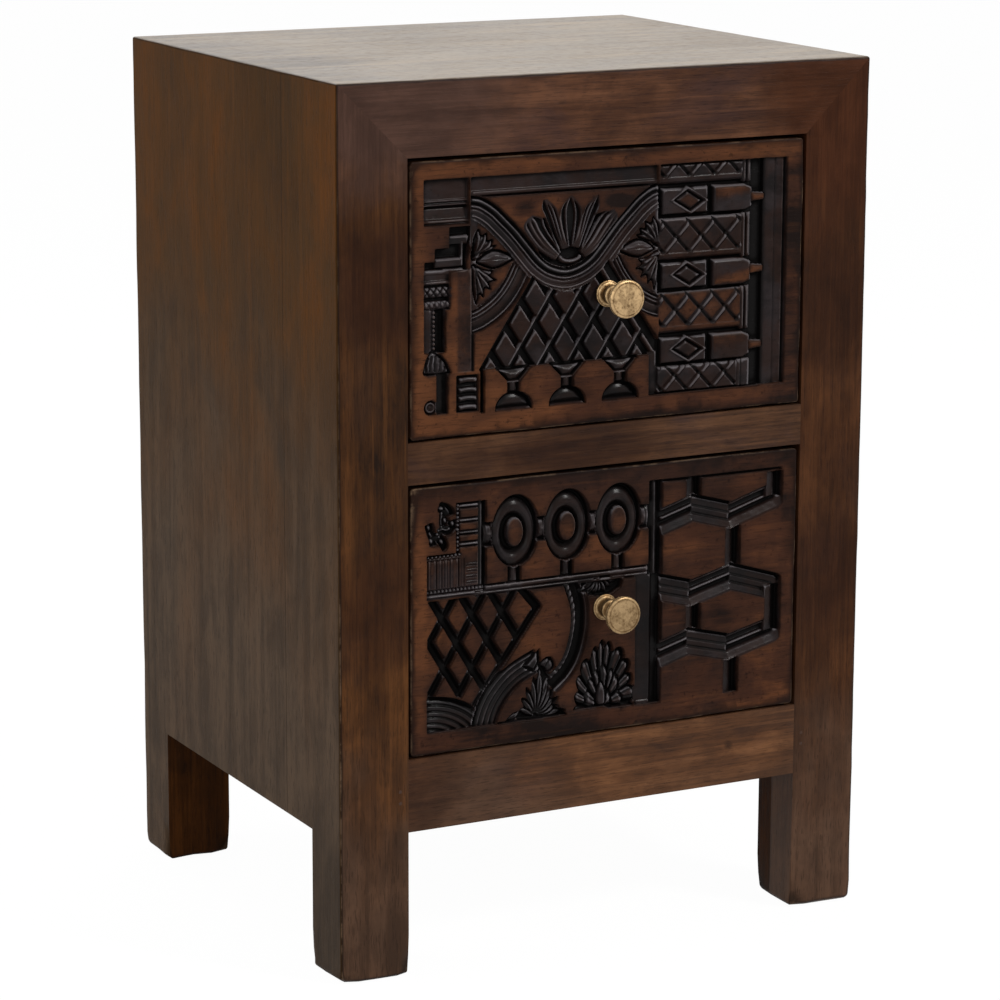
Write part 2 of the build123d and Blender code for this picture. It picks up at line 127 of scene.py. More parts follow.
class Relief:
    """The carved face of a board as a grid in millimetres: its level, 0 at the face and negative
    where it is cut, and its stain, 0 for bare brown wood and 1 for the black in the carving."""

    def __init__(self, left, right, low, high, pitch):
        self.xs = np.linspace(left, right, round((right - left) / pitch) + 1)
        self.zs = np.linspace(low, high, round((high - low) / pitch) + 1)
        self.level = np.zeros((len(self.zs), len(self.xs)))
        self.stain = np.zeros_like(self.level)

    def near(self, points, reach):
        """The part of the grid within reach of these points, and its coordinates."""
        low = np.min(points, axis=0) - reach
        high = np.max(points, axis=0) + reach
        columns = slice(*np.searchsorted(self.xs, (low[0], high[0])))
        rows = slice(*np.searchsorted(self.zs, (low[1], high[1])))
        x, z = np.meshgrid(self.xs[columns], self.zs[rows])
        return (rows, columns), x, z

    def cut(self, spot, inside, level, stain, how="set"):
        """Works the board where inside is true."""
        old = self.level[spot]
        if how == "deeper":
            inside = inside & (level < old)
        elif how == "higher":
            inside = inside & (level > old)
        elif how == "add":
            level = old + level
        self.level[spot] = np.where(inside, level, old)
        self.stain[spot] = np.where(inside, stain, self.stain[spot])

    def slab(self, left, right, low, high, level, stain):
        """A flat rectangle."""
        self.level_rows(left, right, [(low, level, stain), (high, level, stain)])

    def level_rows(self, left, right, profile, how="set"):
        """A moulding from left to right. The places in its profile are heights."""
        spot, _, z = self.near([(left, profile[0][0]), (right, profile[-1][0])], 0)
        self.cut(spot, True, *profiled(z, profile), how)

    def upright_rows(self, low, high, profile, how="set"):
        """An upright moulding. Its profile runs from left to right."""
        spot, x, _ = self.near([(profile[0][0], low), (profile[-1][0], high)], 0)
        self.cut(spot, True, *profiled(x, profile), how)

    def band(self, points, profile, how="set", within=everywhere):
        """A moulding that follows a line. Places in its profile are positive on the line's left."""
        first, last = profile[0][0], profile[-1][0]
        spot, x, z = self.near(points, max(-first, last))
        across, _, beyond = beside(x, z, points)
        inside = (across >= first) & (across <= last) & ~beyond & within(x, z)
        self.cut(spot, inside, *profiled(across, profile), how)

    def shape(self, outline, profile):
        """A closed motif. Its profile runs from its outline inwards."""
        spot, x, z = self.near(outline, 1)
        inwards = within_line(x, z, outline)
        self.cut(spot, inwards >= 0, *profiled(inwards, profile))

    def oval(self, centre, radii, profile, within=everywhere):
        """An oval motif. Its profile runs from 0 at the centre to 1 at the rim."""
        first, last = profile[0][0], profile[-1][0]
        spot, x, z = self.near([centre], max(radii) * last)
        away = np.hypot((x - centre[0]) / radii[0], (z - centre[1]) / radii[1])
        self.cut(spot, (away >= first) & (away <= last) & within(x, z), *profiled(away, profile))


def profiled(where, profile):
    """The level and stain that a profile has at these places. A row without a stain is black."""
    place, level, stain = np.array([(*row, 1)[:3] for row in profile], float).T
    return np.interp(where, place, level), np.interp(where, place, stain)


def groove(half, core, depth, stain, dark=1):
    """The profile of a scratched line: its half width, and the half width of its flat bottom."""
    return [(-half, 0, stain), (-core, -depth, dark), (core, -depth, dark), (half, 0, stain)]


def beads(board, first, step, count, radii, profile):
    """A row of beads."""
    for number in range(count):
        board.oval(first + np.array(step) * number, radii, profile)


def beside(x, z, points, closed=False):
    """Distance to a line, positive on its left, the distance along it, and what lies past its ends."""
    points = np.array(points, float)
    if closed:
        points = np.vstack([points, points[:1]])
    best = np.full(x.shape, np.inf)
    side, along = np.zeros((2, *x.shape))
    beyond = np.zeros(x.shape, bool)
    travelled = 0.0
    last = len(points) - 2
    for number, (start, end) in enumerate(zip(points[:-1], points[1:])):
        step = end - start
        length = np.hypot(*step)
        if length == 0:
            continue
        free = ((x - start[0]) * step[0] + (z - start[1]) * step[1]) / length**2
        share = np.clip(free, 0, 1)
        away = np.hypot(x - start[0] - share * step[0], z - start[1] - share * step[1])
        closer = away < best
        best = np.where(closer, away, best)
        turn = step[0] * (z - start[1]) - step[1] * (x - start[0])
        side = np.where(closer, np.where(turn >= 0, 1.0, -1.0), side)
        along = np.where(closer, travelled + share * length, along)
        past = ((number == 0) & (free < 0)) | ((number == last) & (free > 1))
        beyond = np.where(closer, past & (not closed), beyond)
        travelled += length
    return best * side, along, beyond


def within_line(x, z, outline):
    """Distance inwards from a closed outline, negative outside it."""
    points = np.array(outline, float)
    away = np.abs(beside(x, z, points, closed=True)[0])
    inside = np.zeros(x.shape, bool)
    for (ax, az), (bx, bz) in zip(points, np.roll(points, -1, axis=0)):
        if az != bz:
            crossing = (bx - ax) * (z - az) / (bz - az) + ax
            inside ^= ((az > z) != (bz > z)) & (x < crossing)
    return np.where(inside, away, -away)


def smooth(points, closed=False, pieces=8):
    """A smooth line through these points."""
    points = np.array(points, float)
    if closed:
        padded = np.vstack([points[-1:], points, points[:2]])
    else:
        padded = np.vstack([2 * points[0] - points[1], points, 2 * points[-1] - points[-2]])
    line = []
    for a, b, c, d in zip(padded[:-3], padded[1:-2], padded[2:-1], padded[3:]):
        for share in np.arange(pieces) / pieces:
            line.append(0.5 * (2 * b + (c - a) * share + (2 * a - 5 * b + 4 * c - d) * share**2
                               + (3 * b - a - 3 * c + d) * share**3))
    if not closed:
        line.append(points[-1])
    return np.array(line)


def flip(points, middle):
    """The points mirrored about an upright line."""
    return [(2 * middle - x, z) for x, z in points]


def soften(grid, width):
    """The grid blurred over a width in cells."""
    reach = int(np.ceil(2.5 * width))
    weights = np.exp(-0.5 * (np.arange(-reach, reach + 1) / width) ** 2)
    weights /= weights.sum()
    for axis in (0, 1):
        padding = [(0, 0), (0, 0)]
        padding[axis] = (reach, reach)
        padded = np.pad(grid, padding, mode="edge")
        size = grid.shape[axis]
        grid = sum(w * np.take(padded, range(i, i + size), axis=axis) for i, w in enumerate(weights))
    return grid


# ---- carving of the upper front, in millimetres from the cabinet's left side and the floor

OGEE = [
    (96, 515), (103, 513.5), (111, 508.5), (118, 502), (127, 493), (136, 482.5), (145, 472.5), (155, 466),
    (168, 463),
]
OGEE_MOULDING = [
    (-8, 0, 0.2), (-7.6, -1.6, 0.9), (-6.8, -1.4, 0.6), (-6, -2.6, 0.9), (-5.4, -1.3, 0.5), (-4.6, -1.4, 0.5),
    (-4.2, -2.6, 0.9), (-3.6, -2.8, 0.75), (-1.6, -2, 0.7), (-0.6, -2.2, 0.8), (-0.2, -3.2), (0.4, -3, 0.9),
    (1.2, -1.2, 0.45), (1.9, -3.2), (2.5, -3.9), (4.2, -2.2, 0.95), (5.6, -2, 0.95), (6.6, -3.2),
    (7.2, -4.4), (7.8, -4.2, 0.9), (8.2, -0.6, 0.2),
]
ARC = [(96, 439), (104, 441.5), (113, 446.5), (121, 453), (128.5, 462.5), (134.5, 473.5)]
ARC_MOULDING = [
    (-7, -0.4, 0.2), (-6.6, -2.8, 0.95), (-5.2, -1.1, 0.55), (-4.4, -3), (-3.4, -2.9, 0.85),
    (0.4, -2.2, 0.72), (1.6, -3.4), (2.9, -1.1, 0.5), (4.2, -3.2), (5.5, -1.3, 0.55), (6.4, -3.4),
    (7.2, -3.4, 0.95), (7.6, -1, 0.3),
]
MIDDLE = 168  # of the spandrel, in millimetres
OGEE_LINE = smooth(OGEE + flip(OGEE[-2::-1], MIDDLE))
GROUND = -0.5  # level of the spandrel


# outline, root and tips of the leaves in a half medallion
LEAVES = (
    ([
        (97.5, 481), (98.2, 489), (99.5, 496), (102.8, 501), (104.6, 496.4), (109, 498), (108.8, 493),
        (113.4, 493.6), (112.2, 489.4), (116, 489.6), (112, 486), (105, 484), (101, 480.6),
    ], (99, 482), ((102.4, 498.6), (107.8, 496), (111.8, 491.8), (113.8, 488.6))),
    ([
        (97.5, 477), (102, 477), (107, 474), (114, 473), (111.4, 469.4), (116.2, 466.4), (110.8, 465),
        (112, 460.4), (107.4, 461.4), (106.6, 455.4), (103.6, 457.8), (101.4, 451), (99.2, 457), (98, 467),
    ], (99, 476), ((112, 471.8), (113.6, 467), (110.4, 462.4), (105.8, 458), (101.4, 454.4))),
)
# left edge, right edge and ribs of each petal; a rib is (share across, half width, stain)
PETALS = (
    (
        [(159, 477.2), (148, 483.4), (140, 492), (135, 500), (137.4, 505.4)],
        [(162.6, 481.4), (154.6, 493), (150.4, 500), (148.4, 505), (141, 507.4)],
        ((0.1, 1.9, 0.45), (0.36, 2.1, 0.4), (0.6, 1.7, 0.5), (0.97, 0.95, 0.4)),
    ),
    (
        [(177, 481.4), (183.4, 490), (189, 499), (194.6, 505.6), (202, 508)],
        [(180.6, 477.2), (191, 483), (198.6, 491), (204.4, 499), (205, 504.6)],
        ((0.03, 1, 0.4), (0.34, 1.9, 0.5), (0.62, 2.1, 0.4), (0.9, 1.9, 0.45)),
    ),
    (
        [(161.6, 483.6), (155.4, 496), (151, 506), (148.4, 512), (149, 516.8)],
        [(166.4, 483.6), (163.8, 495), (161.2, 505), (158.4, 511.6), (151.6, 517.6)],
        ((0, 0.8, 0.7), (0.44, 0.9, 0.5), (0.7, 1.2, 0.45), (0.97, 1.2, 0.4)),
    ),
    (
        [(173.2, 483.6), (176, 495), (178.4, 505), (181.4, 511.8), (188.8, 518.2)],
        [(178, 483.6), (183.8, 496), (188, 505), (190.6, 511), (190.8, 517.4)],
        ((0.03, 1.2, 0.4), (0.3, 1.2, 0.45), (0.56, 0.9, 0.5), (1, 0.8, 0.7)),
    ),
    (
        [(167.8, 483), (163.8, 495), (161.8, 505), (163.2, 512), (169.4, 519)],
        [(171.6, 483), (176, 495), (178, 505), (176.4, 512), (170.2, 519)],
        ((0.02, 1.2, 0.45), (0.27, 1.1, 0.5), (0.72, 1.1, 0.5), (0.98, 1.2, 0.45)),
    ),
)


def top_mouldings(board):
    """The block moulding at the top left, and the sunk moulding under the top border."""
    board.level_rows(62, 94.5, [
        (505, -0.5, 0.2), (505.4, -2, 0.9), (506.2, -2.2, 0.8), (506.6, -1, 0.45), (508.2, -1, 0.45),
        (508.8, -2.2, 0.75), (515.5, -3.2, 0.8), (516.4, -4), (517.4, -4.2), (517.6, -1.4, 0.5),
        (518.4, -1.4, 0.5), (518.8, -2.8), (520, -2.8), (520.3, -1.6, 0.5), (521.2, -1.6, 0.5),
        (521.6, -2.4, 0.75), (534, -2.6, 0.8), (535, -2.6, 0.9),
    ])
    board.level_rows(97, 235, [
        (521, GROUND, 0.1), (521.6, -2.8, 0.95), (522.6, -2.8, 0.9), (523, -1.1, 0.5), (525.2, -1.1, 0.5),
        (525.8, -2, 0.7), (534.4, -2.3, 0.75), (535, -2.3, 0.9),
    ])


def spandrel_ground(board):
    """The flat ground between the top moulding and the ogee."""
    spandrel = np.vstack([OGEE_LINE + (0, 6), [(240, 521.3), (96, 521.3)]])
    board.shape(spandrel, [(0, GROUND, 0.05), (1, GROUND, 0)])


def half_medallion(board, left):
    """Half a medallion with leaves and a tongue, and the arc below it."""
    hand = 1 if left else -1

    def put(points):
        return points if left else flip(points, MIDDLE)

    disc = put([
        (97, 447), (106, 451), (116, 457.5), (124, 466), (131, 478), (126, 487), (118, 496), (110, 503),
        (103, 507), (97, 508),
    ])
    board.shape(disc, [(0, -3.4), (1, -2.2, 0.5), (4, -1.7, 0.15)])
    board.shape(put([(97, 447), (101.5, 448), (101.5, 507), (97, 508)]), [(0, -2, 0.7), (1, -2, 0.7)])
    for outline, root, tips in LEAVES:
        ragged = smooth(put(outline), closed=True, pieces=3)
        board.shape(ragged, [(0, -4.4), (0.6, -3.6), (1.2, -1.7, 0.9), (2.6, -1.1, 0.75)])
        for tip in tips:
            board.band(put([root, tip]), [
                (-1.5, 0, 0.85), (-0.9, 0.4, 0.6), (-0.1, 0.5, 0.5), (0.5, -1), (1.1, -1), (1.6, 0, 0.85),
            ], how="add", within=lambda x, z: within_line(x, z, ragged) > 0.5)
    tongue = put([
        (101, 479), (107, 484.4), (114, 486.6), (121, 485), (129, 480), (122, 475.6), (114, 473.6),
        (107, 475.6),
    ])
    board.shape(smooth(tongue, closed=True, pieces=5), [
        (0, -4.4), (0.9, -4), (1.5, -2, 0.9), (3.4, -0.5, 0.7), (6, 0, 0.5),
    ])
    board.band(put([(101, 480), (112, 480.4), (124, 480.2)]), groove(0.7, 0.2, 0.5, 0.6, 0.9), "add")
    # arc below the medallion
    arc = smooth(put(ARC))
    profile = [(hand * offset, *cut) for offset, *cut in ARC_MOULDING][::hand]
    board.band(arc, profile, within=lambda x, z: (x > 97.4) & (x < 238.4))


def lotus(board):
    """A hollow behind the petals, then each petal as a fan of ribs between its two edges."""
    bowl = [
        (135, 501), (141, 506), (150, 505), (162, 506), (178, 506), (189, 505), (198, 507), (204, 501),
        (196, 488), (184, 476), (168, 470), (154, 475), (144, 487),
    ]
    board.shape(smooth(bowl, closed=True, pieces=3), [(0, -2.8), (0.6, -4.2), (2, -4.4)])
    for left, right, ribs in PETALS:
        left, right = smooth(left, pieces=6), smooth(right, pieces=6)
        board.shape(np.vstack([left, right[::-1]]), [(0, -3.4), (0.5, -3), (2, -2.4)])
        for share, half, tone in ribs:
            board.band(left + (right - left) * share, [
                (-half, -2.6), (-0.55 * half, -0.9, 0.85), (0, -0.25, tone), (0.55 * half, -0.8, 0.8),
                (half, -2.8),
            ], how="higher")
    board.oval((170.4, 479.6), (7.4, 5), [(0, -4.4), (0.8, -4.2), (1, -3.4)])
    collar = smooth([(162.2, 478.6), (164.8, 475.9), (170.4, 474.7), (176, 475.9), (178.6, 478.6)], pieces=5)
    board.band(collar, [(-2, -3.8), (-1.2, -2.4, 0.9), (0.2, -1.4, 0.62), (1.2, -1.7, 0.7), (2, -3.6)])


def upper_lattice(board):
    """Slanted plates under the ogee."""
    spot, x, z = board.near([(100, 407), (240, 474)], 1)
    a = (x - 133) / 22 + (z - 421) / 33
    b = (x - 133) / 22 - (z - 421) / 33
    ogee_low = np.interp(x, *zip(*sorted((p[0], p[1] - 8) for p in OGEE_LINE)))
    inside = (z > 408) & (z < ogee_low) & (b > -1.03) & (a < 4.62)
    wide = 18.3
    fa = (a - np.round(a)) * wide
    fb = (b - np.round(b)) * wide
    level = np.full(x.shape, -1.5)
    tone = np.full(x.shape, 0.55)
    # plates dished a little towards their middle
    level = level - 0.25 * np.cos(np.pi * fa / wide) ** 2 * np.cos(np.pi * fb / wide) ** 2
    groove_a = np.interp(fa, [-2.9, -2.5, 2.1, 2.5], [0, 1, 1, 0])
    level = level - 2.9 * groove_a
    tone = np.where(groove_a > 0.1, 1, tone)
    groove_b = np.interp(fb, [-0.2, 0.5, 3.4, 4], [0, 1, 1, 0])
    level = np.where(groove_b > 0.05, np.minimum(level, -1.5 - 2.6 * groove_b), level)
    tone = np.where(groove_b > 0.1, 1, tone)
    rib = np.interp(np.abs(fb + 0.9), [0.55, 1.1], [1, 0])
    level = np.where(rib > 0.05, np.maximum(level, -3.6 + 2.9 * rib), level)
    tone = np.where(rib > 0.3, 0.62, tone)
    level = np.where(a > 4.3, -4.4, level)
    tone = np.where(a > 4.3, 1, tone)
    board.cut(spot, inside, level, tone)


def stepped_pyramid(board):
    """Three steps with raised fronts, over the column."""
    board.shape([
        (96, 503.6), (80.4, 503.6), (80.4, 490), (70, 490), (70, 481.6), (62.6, 481.6), (62.6, 470),
        (77, 470), (77, 475), (93.4, 475), (93.4, 482), (96, 494),
    ], [(0, -1.6, 0.9), (0.7, -4.8)])
    for left, right, low, high in (
        (81, 95, 491.4, 498), (70.7, 89.3, 476.8, 483.6), (63.2, 72.4, 469.6, 476.4),
    ):
        board.level_rows(left, right, [
            (low, -3.6), (low + 0.7, -2.4, 0.85), (low + 3, -2, 0.75), (high - 2, -1.5, 0.62),
            (high - 1, -1, 0.5), (high, -3.6),
        ])
    board.slab(89.4, 91.2, 477.4, 493, -1.8, 0.6)
    board.slab(76.4, 91.2, 474.6, 476.4, -1.4, 0.55)


def column(board):
    """The column at the left: its capital, beaded shaft, bulb and round base."""
    board.level_rows(62, 81, [
        (450, -2, 0.9), (450.6, -2.6), (451.4, -1.4, 0.6), (453.2, -0.9, 0.5), (455.4, -1.6, 0.7),
        (456.2, -3.8), (457.8, -3.8), (458.4, -1.8, 0.7), (461.5, -0.9, 0.55), (464.4, -1.7, 0.7),
        (465, -3.6), (466.2, -3.4), (466.8, -1.4, 0.5), (468.4, -1.2, 0.45), (469, -2.4, 0.8),
        (473, -2.2, 0.75), (473.4, -1.4, 0.6), (476, -1.6, 0.65),
    ])
    beads(board, (64, 453.2), (3.9, 0), 5, (1.7, 2.3), [(0, -0.5, 0.45), (0.7, -1, 0.6), (1, -2.4)])
    for number in range(4):
        middle = 65 + 4.7 * number
        for half in (2.3, -2.3):
            board.band([(middle - half, 458.4), (middle + half, 464.6)], groove(0.7, 0.3, 0.9, 0.8), "add")
    board.upright_rows(422, 450, [
        (62, -1, 0.3), (62.8, -2, 0.6), (67.6, -1.6, 0.55), (68.4, -2.8), (71, -2.8), (71.6, -4.6),
        (77, -4.8), (77.5, -2.2, 0.6),
    ])
    beads(board, (69.8, 424.6), (0, 2.95), 9, (1.25, 1.35), [(0, -1, 0.25), (0.7, -1.4, 0.5), (1, -2.8)])
    bulb = [
        (63, 407.5), (62.2, 413), (64, 419), (68, 423), (73, 421), (78, 416.5), (80.5, 411), (80.5, 407.5),
    ]
    board.shape(smooth(bulb, closed=True, pieces=4), [(0, -3.6), (0.5, -3), (1.6, -1.6, 0.9), (5, -0.8, 0.8)])
    for rib in (
        [(64.5, 409), (64, 414), (66, 419)], [(67, 409), (66.8, 414), (68.4, 420)],
        [(70.5, 409), (70.2, 415), (71.4, 420)], [(74, 409), (74.4, 414), (75, 417)],
        [(77.5, 409), (78, 412.5)],
    ):
        board.band(rib, groove(1, 0.4, 0.9, 0.5), "add")
    board.upright_rows(381, 407.5, [
        (71, -0.3, 0.4), (71.8, -2.6, 0.95), (78.8, -3.4), (79.5, -1, 0.5),
    ])
    board.oval((67, 386), (5, 5), [
        (0, -1.6, 0.7), (0.35, -2.4, 0.9), (0.5, -1.2, 0.5), (0.7, -1.3, 0.6), (0.85, -2.8), (1, -1.2, 0.5),
    ], within=lambda x, z: x < 71)


def fluted_block(board):
    """Four bowed flutes beside the column's foot."""
    board.slab(85.5, 101.5, 381, 405.5, -2.8, 1)
    for low, high in ((400, 404.2), (393.6, 397.4), (387.8, 391.8), (382, 386)):
        spot, x, z = board.near([(88, low), (101, high)], 0)
        mid = (low + high) / 2
        bow = 0.9 * np.cos((x - 94.5) / 7 * np.pi / 2)
        t = (z - mid - bow + 0.5) / ((high - low) / 2)
        board.cut(spot, np.abs(t) < 1, -2.6 + 1.9 * np.sqrt(np.clip(1 - t**2, 0, 1)), 0.55 + 0.4 * np.abs(t))
    board.slab(103.2, 106.2, 379.5, 409, -4.8, 1)


def upper_fillets(board):
    """The fillets between the column and the spandrel."""
    board.upright_rows(408, 476, [
        (84.5, -0.1, 0), (87, -0.4, 0.36), (96.6, -0.5, 0.42), (97.1, -1.7, 0.95), (98.2, -1.7, 0.95),
        (98.6, -0.6, 0.3),
    ], how="deeper")
    board.upright_rows(476, 535, [
        (95.6, -0.3, 0.2), (96.4, -1.6, 0.9), (97.6, -1.7, 0.95), (98.6, -0.6, 0.3),
    ], how="deeper")


def baluster(board, middle):
    """A cup on a short neck, over a dome."""
    cup = [
        (-12.5, 407.8), (12.5, 407.8), (10.5, 405), (7, 401.5), (4.6, 399), (4.2, 398), (-4.2, 398),
        (-4.6, 399), (-7, 401.5), (-10.5, 405),
    ]
    board.shape([(middle + x, z) for x, z in cup], [(0, -3.6), (0.8, -3.8), (2, -2.2, 0.92), (4.4, -1, 0.7)])
    board.slab(middle - 13, middle + 13, 406.6, 408.2, -4.2, 1)
    board.slab(middle - 4.6, middle + 4.6, 390.5, 398.6, -3.8, 1)
    board.upright_rows(390.5, 398, [
        (middle - 3.6, -3.4), (middle - 1.6, -1.6, 0.85), (middle, -1.2, 0.8), (middle + 1.6, -1.6, 0.9),
        (middle + 3.6, -3.4),
    ])
    board.band([(middle - 5, 398.2), (middle + 5, 398.2)], [
        (-0.8, -2.6, 0.9), (0, -0.9, 0.4), (0.8, -2.4, 0.9),
    ])
    angles = np.linspace(0, np.pi, 24)
    dome = [(middle + 13.8 * np.cos(t), 379.6 + 12.4 * np.sin(t) ** 0.9) for t in angles]
    board.shape(dome, [(0, -4), (0.9, -4.4), (2, -3), (4.6, -2, 0.9), (9, -1.5, 0.75)])
    board.level_rows(middle - 13, middle + 13, [(379.6, -1, 0.4), (380.4, -1.2, 0.4), (381, -2.6)])


def strap_block(board, low, high, tone):
    """A block with a bevel under it and crossed strokes on its face. Gives its right edge."""
    lowest = low < 381
    left, right = 237, 299 if lowest else 301
    bevel = 0.8 if lowest else 5.2
    board.level_rows(left, right, [
        (low, -4.4), (low + 0.6, -3, 0.9), (low + 0.45 * bevel, -1.5, tone * 0.7),
        (low + bevel - 0.5, -0.9, tone * 0.6), (low + bevel, -1.4, tone), (high - 2.2, -1, tone),
        (high - 1.2, -1.2, tone), (high - 0.4, -2.4, 0.95), (high, -4.4),
    ])

    def on_face(x, z):
        return (z > low + bevel) & (z < high - 0.6) & (x < right - 0.2) & (x > left + 0.3)

    ridge = [
        (-2.3, 0, tone), (-1.7, -1), (-1, 0.8, 0.62), (0, 1.1, 0.58), (1, 0.6, 0.62), (1.6, -0.9),
        (2.3, 0, tone),
    ]
    cross = [(-1.5, 0, tone), (-0.6, -1.2), (0.6, -1.1), (1.5, 0, tone)]
    base = low + bevel
    for foot in 240.5 + 19.3 * np.arange(-1, 5):
        board.band([(foot, base), (foot + 30, base + 31)], ridge, "add",
                   within=lambda x, z: on_face(x, z) & (x < foot + 19))
        board.band([(foot + 1, base), (foot - 29, base + 31)], cross, "add",
                   within=lambda x, z: on_face(x, z) & (x > foot - 21))
    return right


def strap_rods(board, right, low, high):
    """The upright rods at the right of a block, or one plain rod beside the lowest block."""
    rods = [
        (0, -2.8, 0.9), (0.8, -1.2, 0.5), (2.6, -1.3, 0.55), (3.2, -3), (4, -3), (4.6, -1.3, 0.5),
        (6.2, -1.5, 0.6), (6.8, -3), (8.5, -3.4),
    ]
    if low < 381:
        rods = [
            (0, -2.8, 0.9), (0.8, -1.6, 0.7), (3, -1.6, 0.7), (3.6, -2.8), (4.4, -1.8, 0.75),
            (10.5, -1.8, 0.8),
        ]
    foot = low if low < 381 else low - 1
    board.upright_rows(foot, high, [(right + place, *cut) for place, *cut in rods])


def strap_diamond(board, low, heart, top_tone, low_tone):
    """A block with a sunk diamond, and the tab at its right."""
    high = low + 19.5
    block = [(239, low + 0.6), (275.4, low + 0.6), (275.4, high - 0.4), (239, high - 0.4)]
    board.shape(block, [(0, -4.2), (0.6, -2.4, 0.95), (1.6, -1.4, 0.78), (3.2, -1.2, 0.74)])
    middle = (260.5, low + 10)
    diamond = [
        (middle[0] - 16, middle[1] + 0.6), (middle[0] - 2, middle[1] + 9.6),
        (middle[0] + 14.6, middle[1] - 0.6), (middle[0] + 0.6, middle[1] - 9.5),
    ]
    board.shape(diamond, [
        (0, -1.8, 0.95), (0.35, -0.5, 0.6), (1.2, -0.2, 0.54), (1.9, -2.6), (2.6, -3.2), (3.4, -1.7, 0.85),
        (4.4, -1, heart), (5.6, -0.8, heart),
    ])
    board.slab(275, 278.6, low, high, -4.8, 1)
    tab = [
        (278.4, low + 0.4), (278.4, high - 0.6), (303, high - 0.6), (309, high - 3.4), (309, low + 2.6),
        (303, low + 0.4),
    ]
    board.shape(tab, [(0, -3), (0.7, -1.2, 0.85), (1.7, -0.6, 0.62), (3, -0.3, 0.6)])
    spot, x, z = board.near(tab, 0)
    share = np.clip((z - low - 4 - (x - 279) * 0.18) / 8, 0, 1)
    board.cut(spot, within_line(x, z, tab) > 1.4, board.level[spot], low_tone + (top_tone - low_tone) * share)
    board.band([(279, high - 1), (303, high - 1)], [
        (-0.5, 0, 0.6), (0, 0.25, 0.45), (0.5, 0, 0.6),
    ], how="add")


def strap(board):
    """The upright strap of blocks and diamonds, with the plain border at its right."""
    board.slab(230, 238, 380, 409.5, -3, 0.85)
    board.slab(237, 316, 380, 535, -4.6, 1)
    for low, high, tone in ((521, 535, 0.72), (470, 499, 0.52), (420.5, 449, 0.2), (380.5, 399, 0.66)):
        right = strap_block(board, low, high, tone)
        strap_rods(board, right, low, high)
    for low, heart, top_tone, low_tone in (
        (500, 0.25, 0.12, 0.72), (450, 0.85, 0.8, 0.14), (399.5, 0.45, 0.3, 0.6),
    ):
        strap_diamond(board, low, heart, top_tone, low_tone)
    board.slab(309.4, 318.4, 380.5, 535, -5.6, 1)
    for tip in (509.5, 460.5, 408.5):
        board.shape([
            (307.5, tip - 3.6), (307.5, tip + 3.4), (318.6, tip + 2.2), (318.6, tip - 2.6),
        ], [(0, -2.2, 0.7), (0.8, -0.9, 0.2), (2.4, -0.4, 0)])
    board.upright_rows(380.5, 535, [
        (318.4, -3.8), (320.2, -2.2, 0.85), (327, -2, 0.66), (327.4, -2.8, 0.95), (328, -1.7, 0.5),
        (333.4, -1.5, 0.42), (333.8, -2.6), (335, -2.6), (335.6, -0.6, 0.2), (336, -0.2, 0.1),
    ])


def carve_upper(pitch):
    """The carving of the upper front, worked out at this pitch."""
    board = Relief(51.5, 348.5, 365, 548, pitch)
    top_mouldings(board)
    spandrel_ground(board)
    half_medallion(board, left=True)
    half_medallion(board, left=False)
    lotus(board)
    board.band(OGEE_LINE, OGEE_MOULDING, within=lambda x, z: (x > 97) & (x < 237.5))
    upper_lattice(board)
    stepped_pyramid(board)
    column(board)
    fluted_block(board)
    upper_fillets(board)
    for middle in (128, 168, 208):
        baluster(board, middle)
    strap(board)
    return board


# ---- carving of the lower front

FRET_HIGH = [(232, 289), (266, 299.3), (296, 291), (330, 301.5)]
FRET_MIDDLE = [(232, 248.5), (265.5, 239.5), (297, 247.8), (330, 237.5)]
FRET_LOW = [(232, 196.5), (264, 205.8), (296, 197.8), (330, 206.5)]
FRET_RISING = [
    (-9.4, 0, 0.15), (-9, -0.5, 0.45), (-8.6, -1, 0.66), (-7.6, -1.4, 0.72), (-4.2, -2.6, 0.8),
    (-3, -3.8, 0.9), (-2.2, -5), (0, -4.6), (0.8, -2.4, 0.92), (1.5, -1.7, 0.7), (2.3, -2.3, 0.86),
    (3.2, -3.7), (6, -3.7), (6.8, -2.2, 0.88), (7.5, -1.6, 0.72), (8.2, -2.2, 0.85), (9, -2.6, 0.95),
    (9.4, 0, 0.15),
]
FRET_FALLING = [
    (-9.4, 0, 0.2), (-9, -0.5, 0.5), (-8.4, -1.4, 0.78), (-4.8, -2.2, 0.84), (-4, -3, 0.92), (-3.2, -3.4),
    (-2.6, -2.7, 0.88), (0.6, -2.5, 0.86), (1.2, -3.2, 0.96), (2, -3.4), (2.6, -2.7, 0.88), (7, -2.9, 0.9),
    (7.6, -4.6), (9, -4.4), (9.4, 0, 0.2),
]
ROOF = [
    (-6, 0, 0.2), (-5.6, -4.8), (-3.8, -4.8), (-2, -3.6), (0.4, -2.2, 0.9), (4.9, -1, 0.84),
    (5.5, -0.8, 0.74), (6, 0, 0.2),
]
BAR = [(-3.3, 0, 0.2), (-2.9, -4), (-1.2, -4.6), (1.2, -4.4), (2.3, -3.2), (2.9, -2.2, 0.9), (3.3, 0, 0.2)]
SLANT = [
    (-3.2, 0, 0.2), (-2.8, -4.2), (-0.8, -4), (0.4, -3, 0.98), (1.5, -2.2, 0.9), (2.2, -2.4, 0.95),
    (2.8, -2.8), (3.2, 0, 0.2),
]
STROKE = [
    (-3.2, -0.2, 0.3), (-2.8, -4), (-1.2, -3.6), (0, -2.6, 0.98), (1.2, -3.6), (2.8, -4.2), (3.2, -0.2, 0.3),
]

BLADE = ((0.1, 0.35), (0.45, 1), (0.78, 0.85), (1, 0.1), (0.78, -0.85), (0.45, -1), (0.1, -0.35))


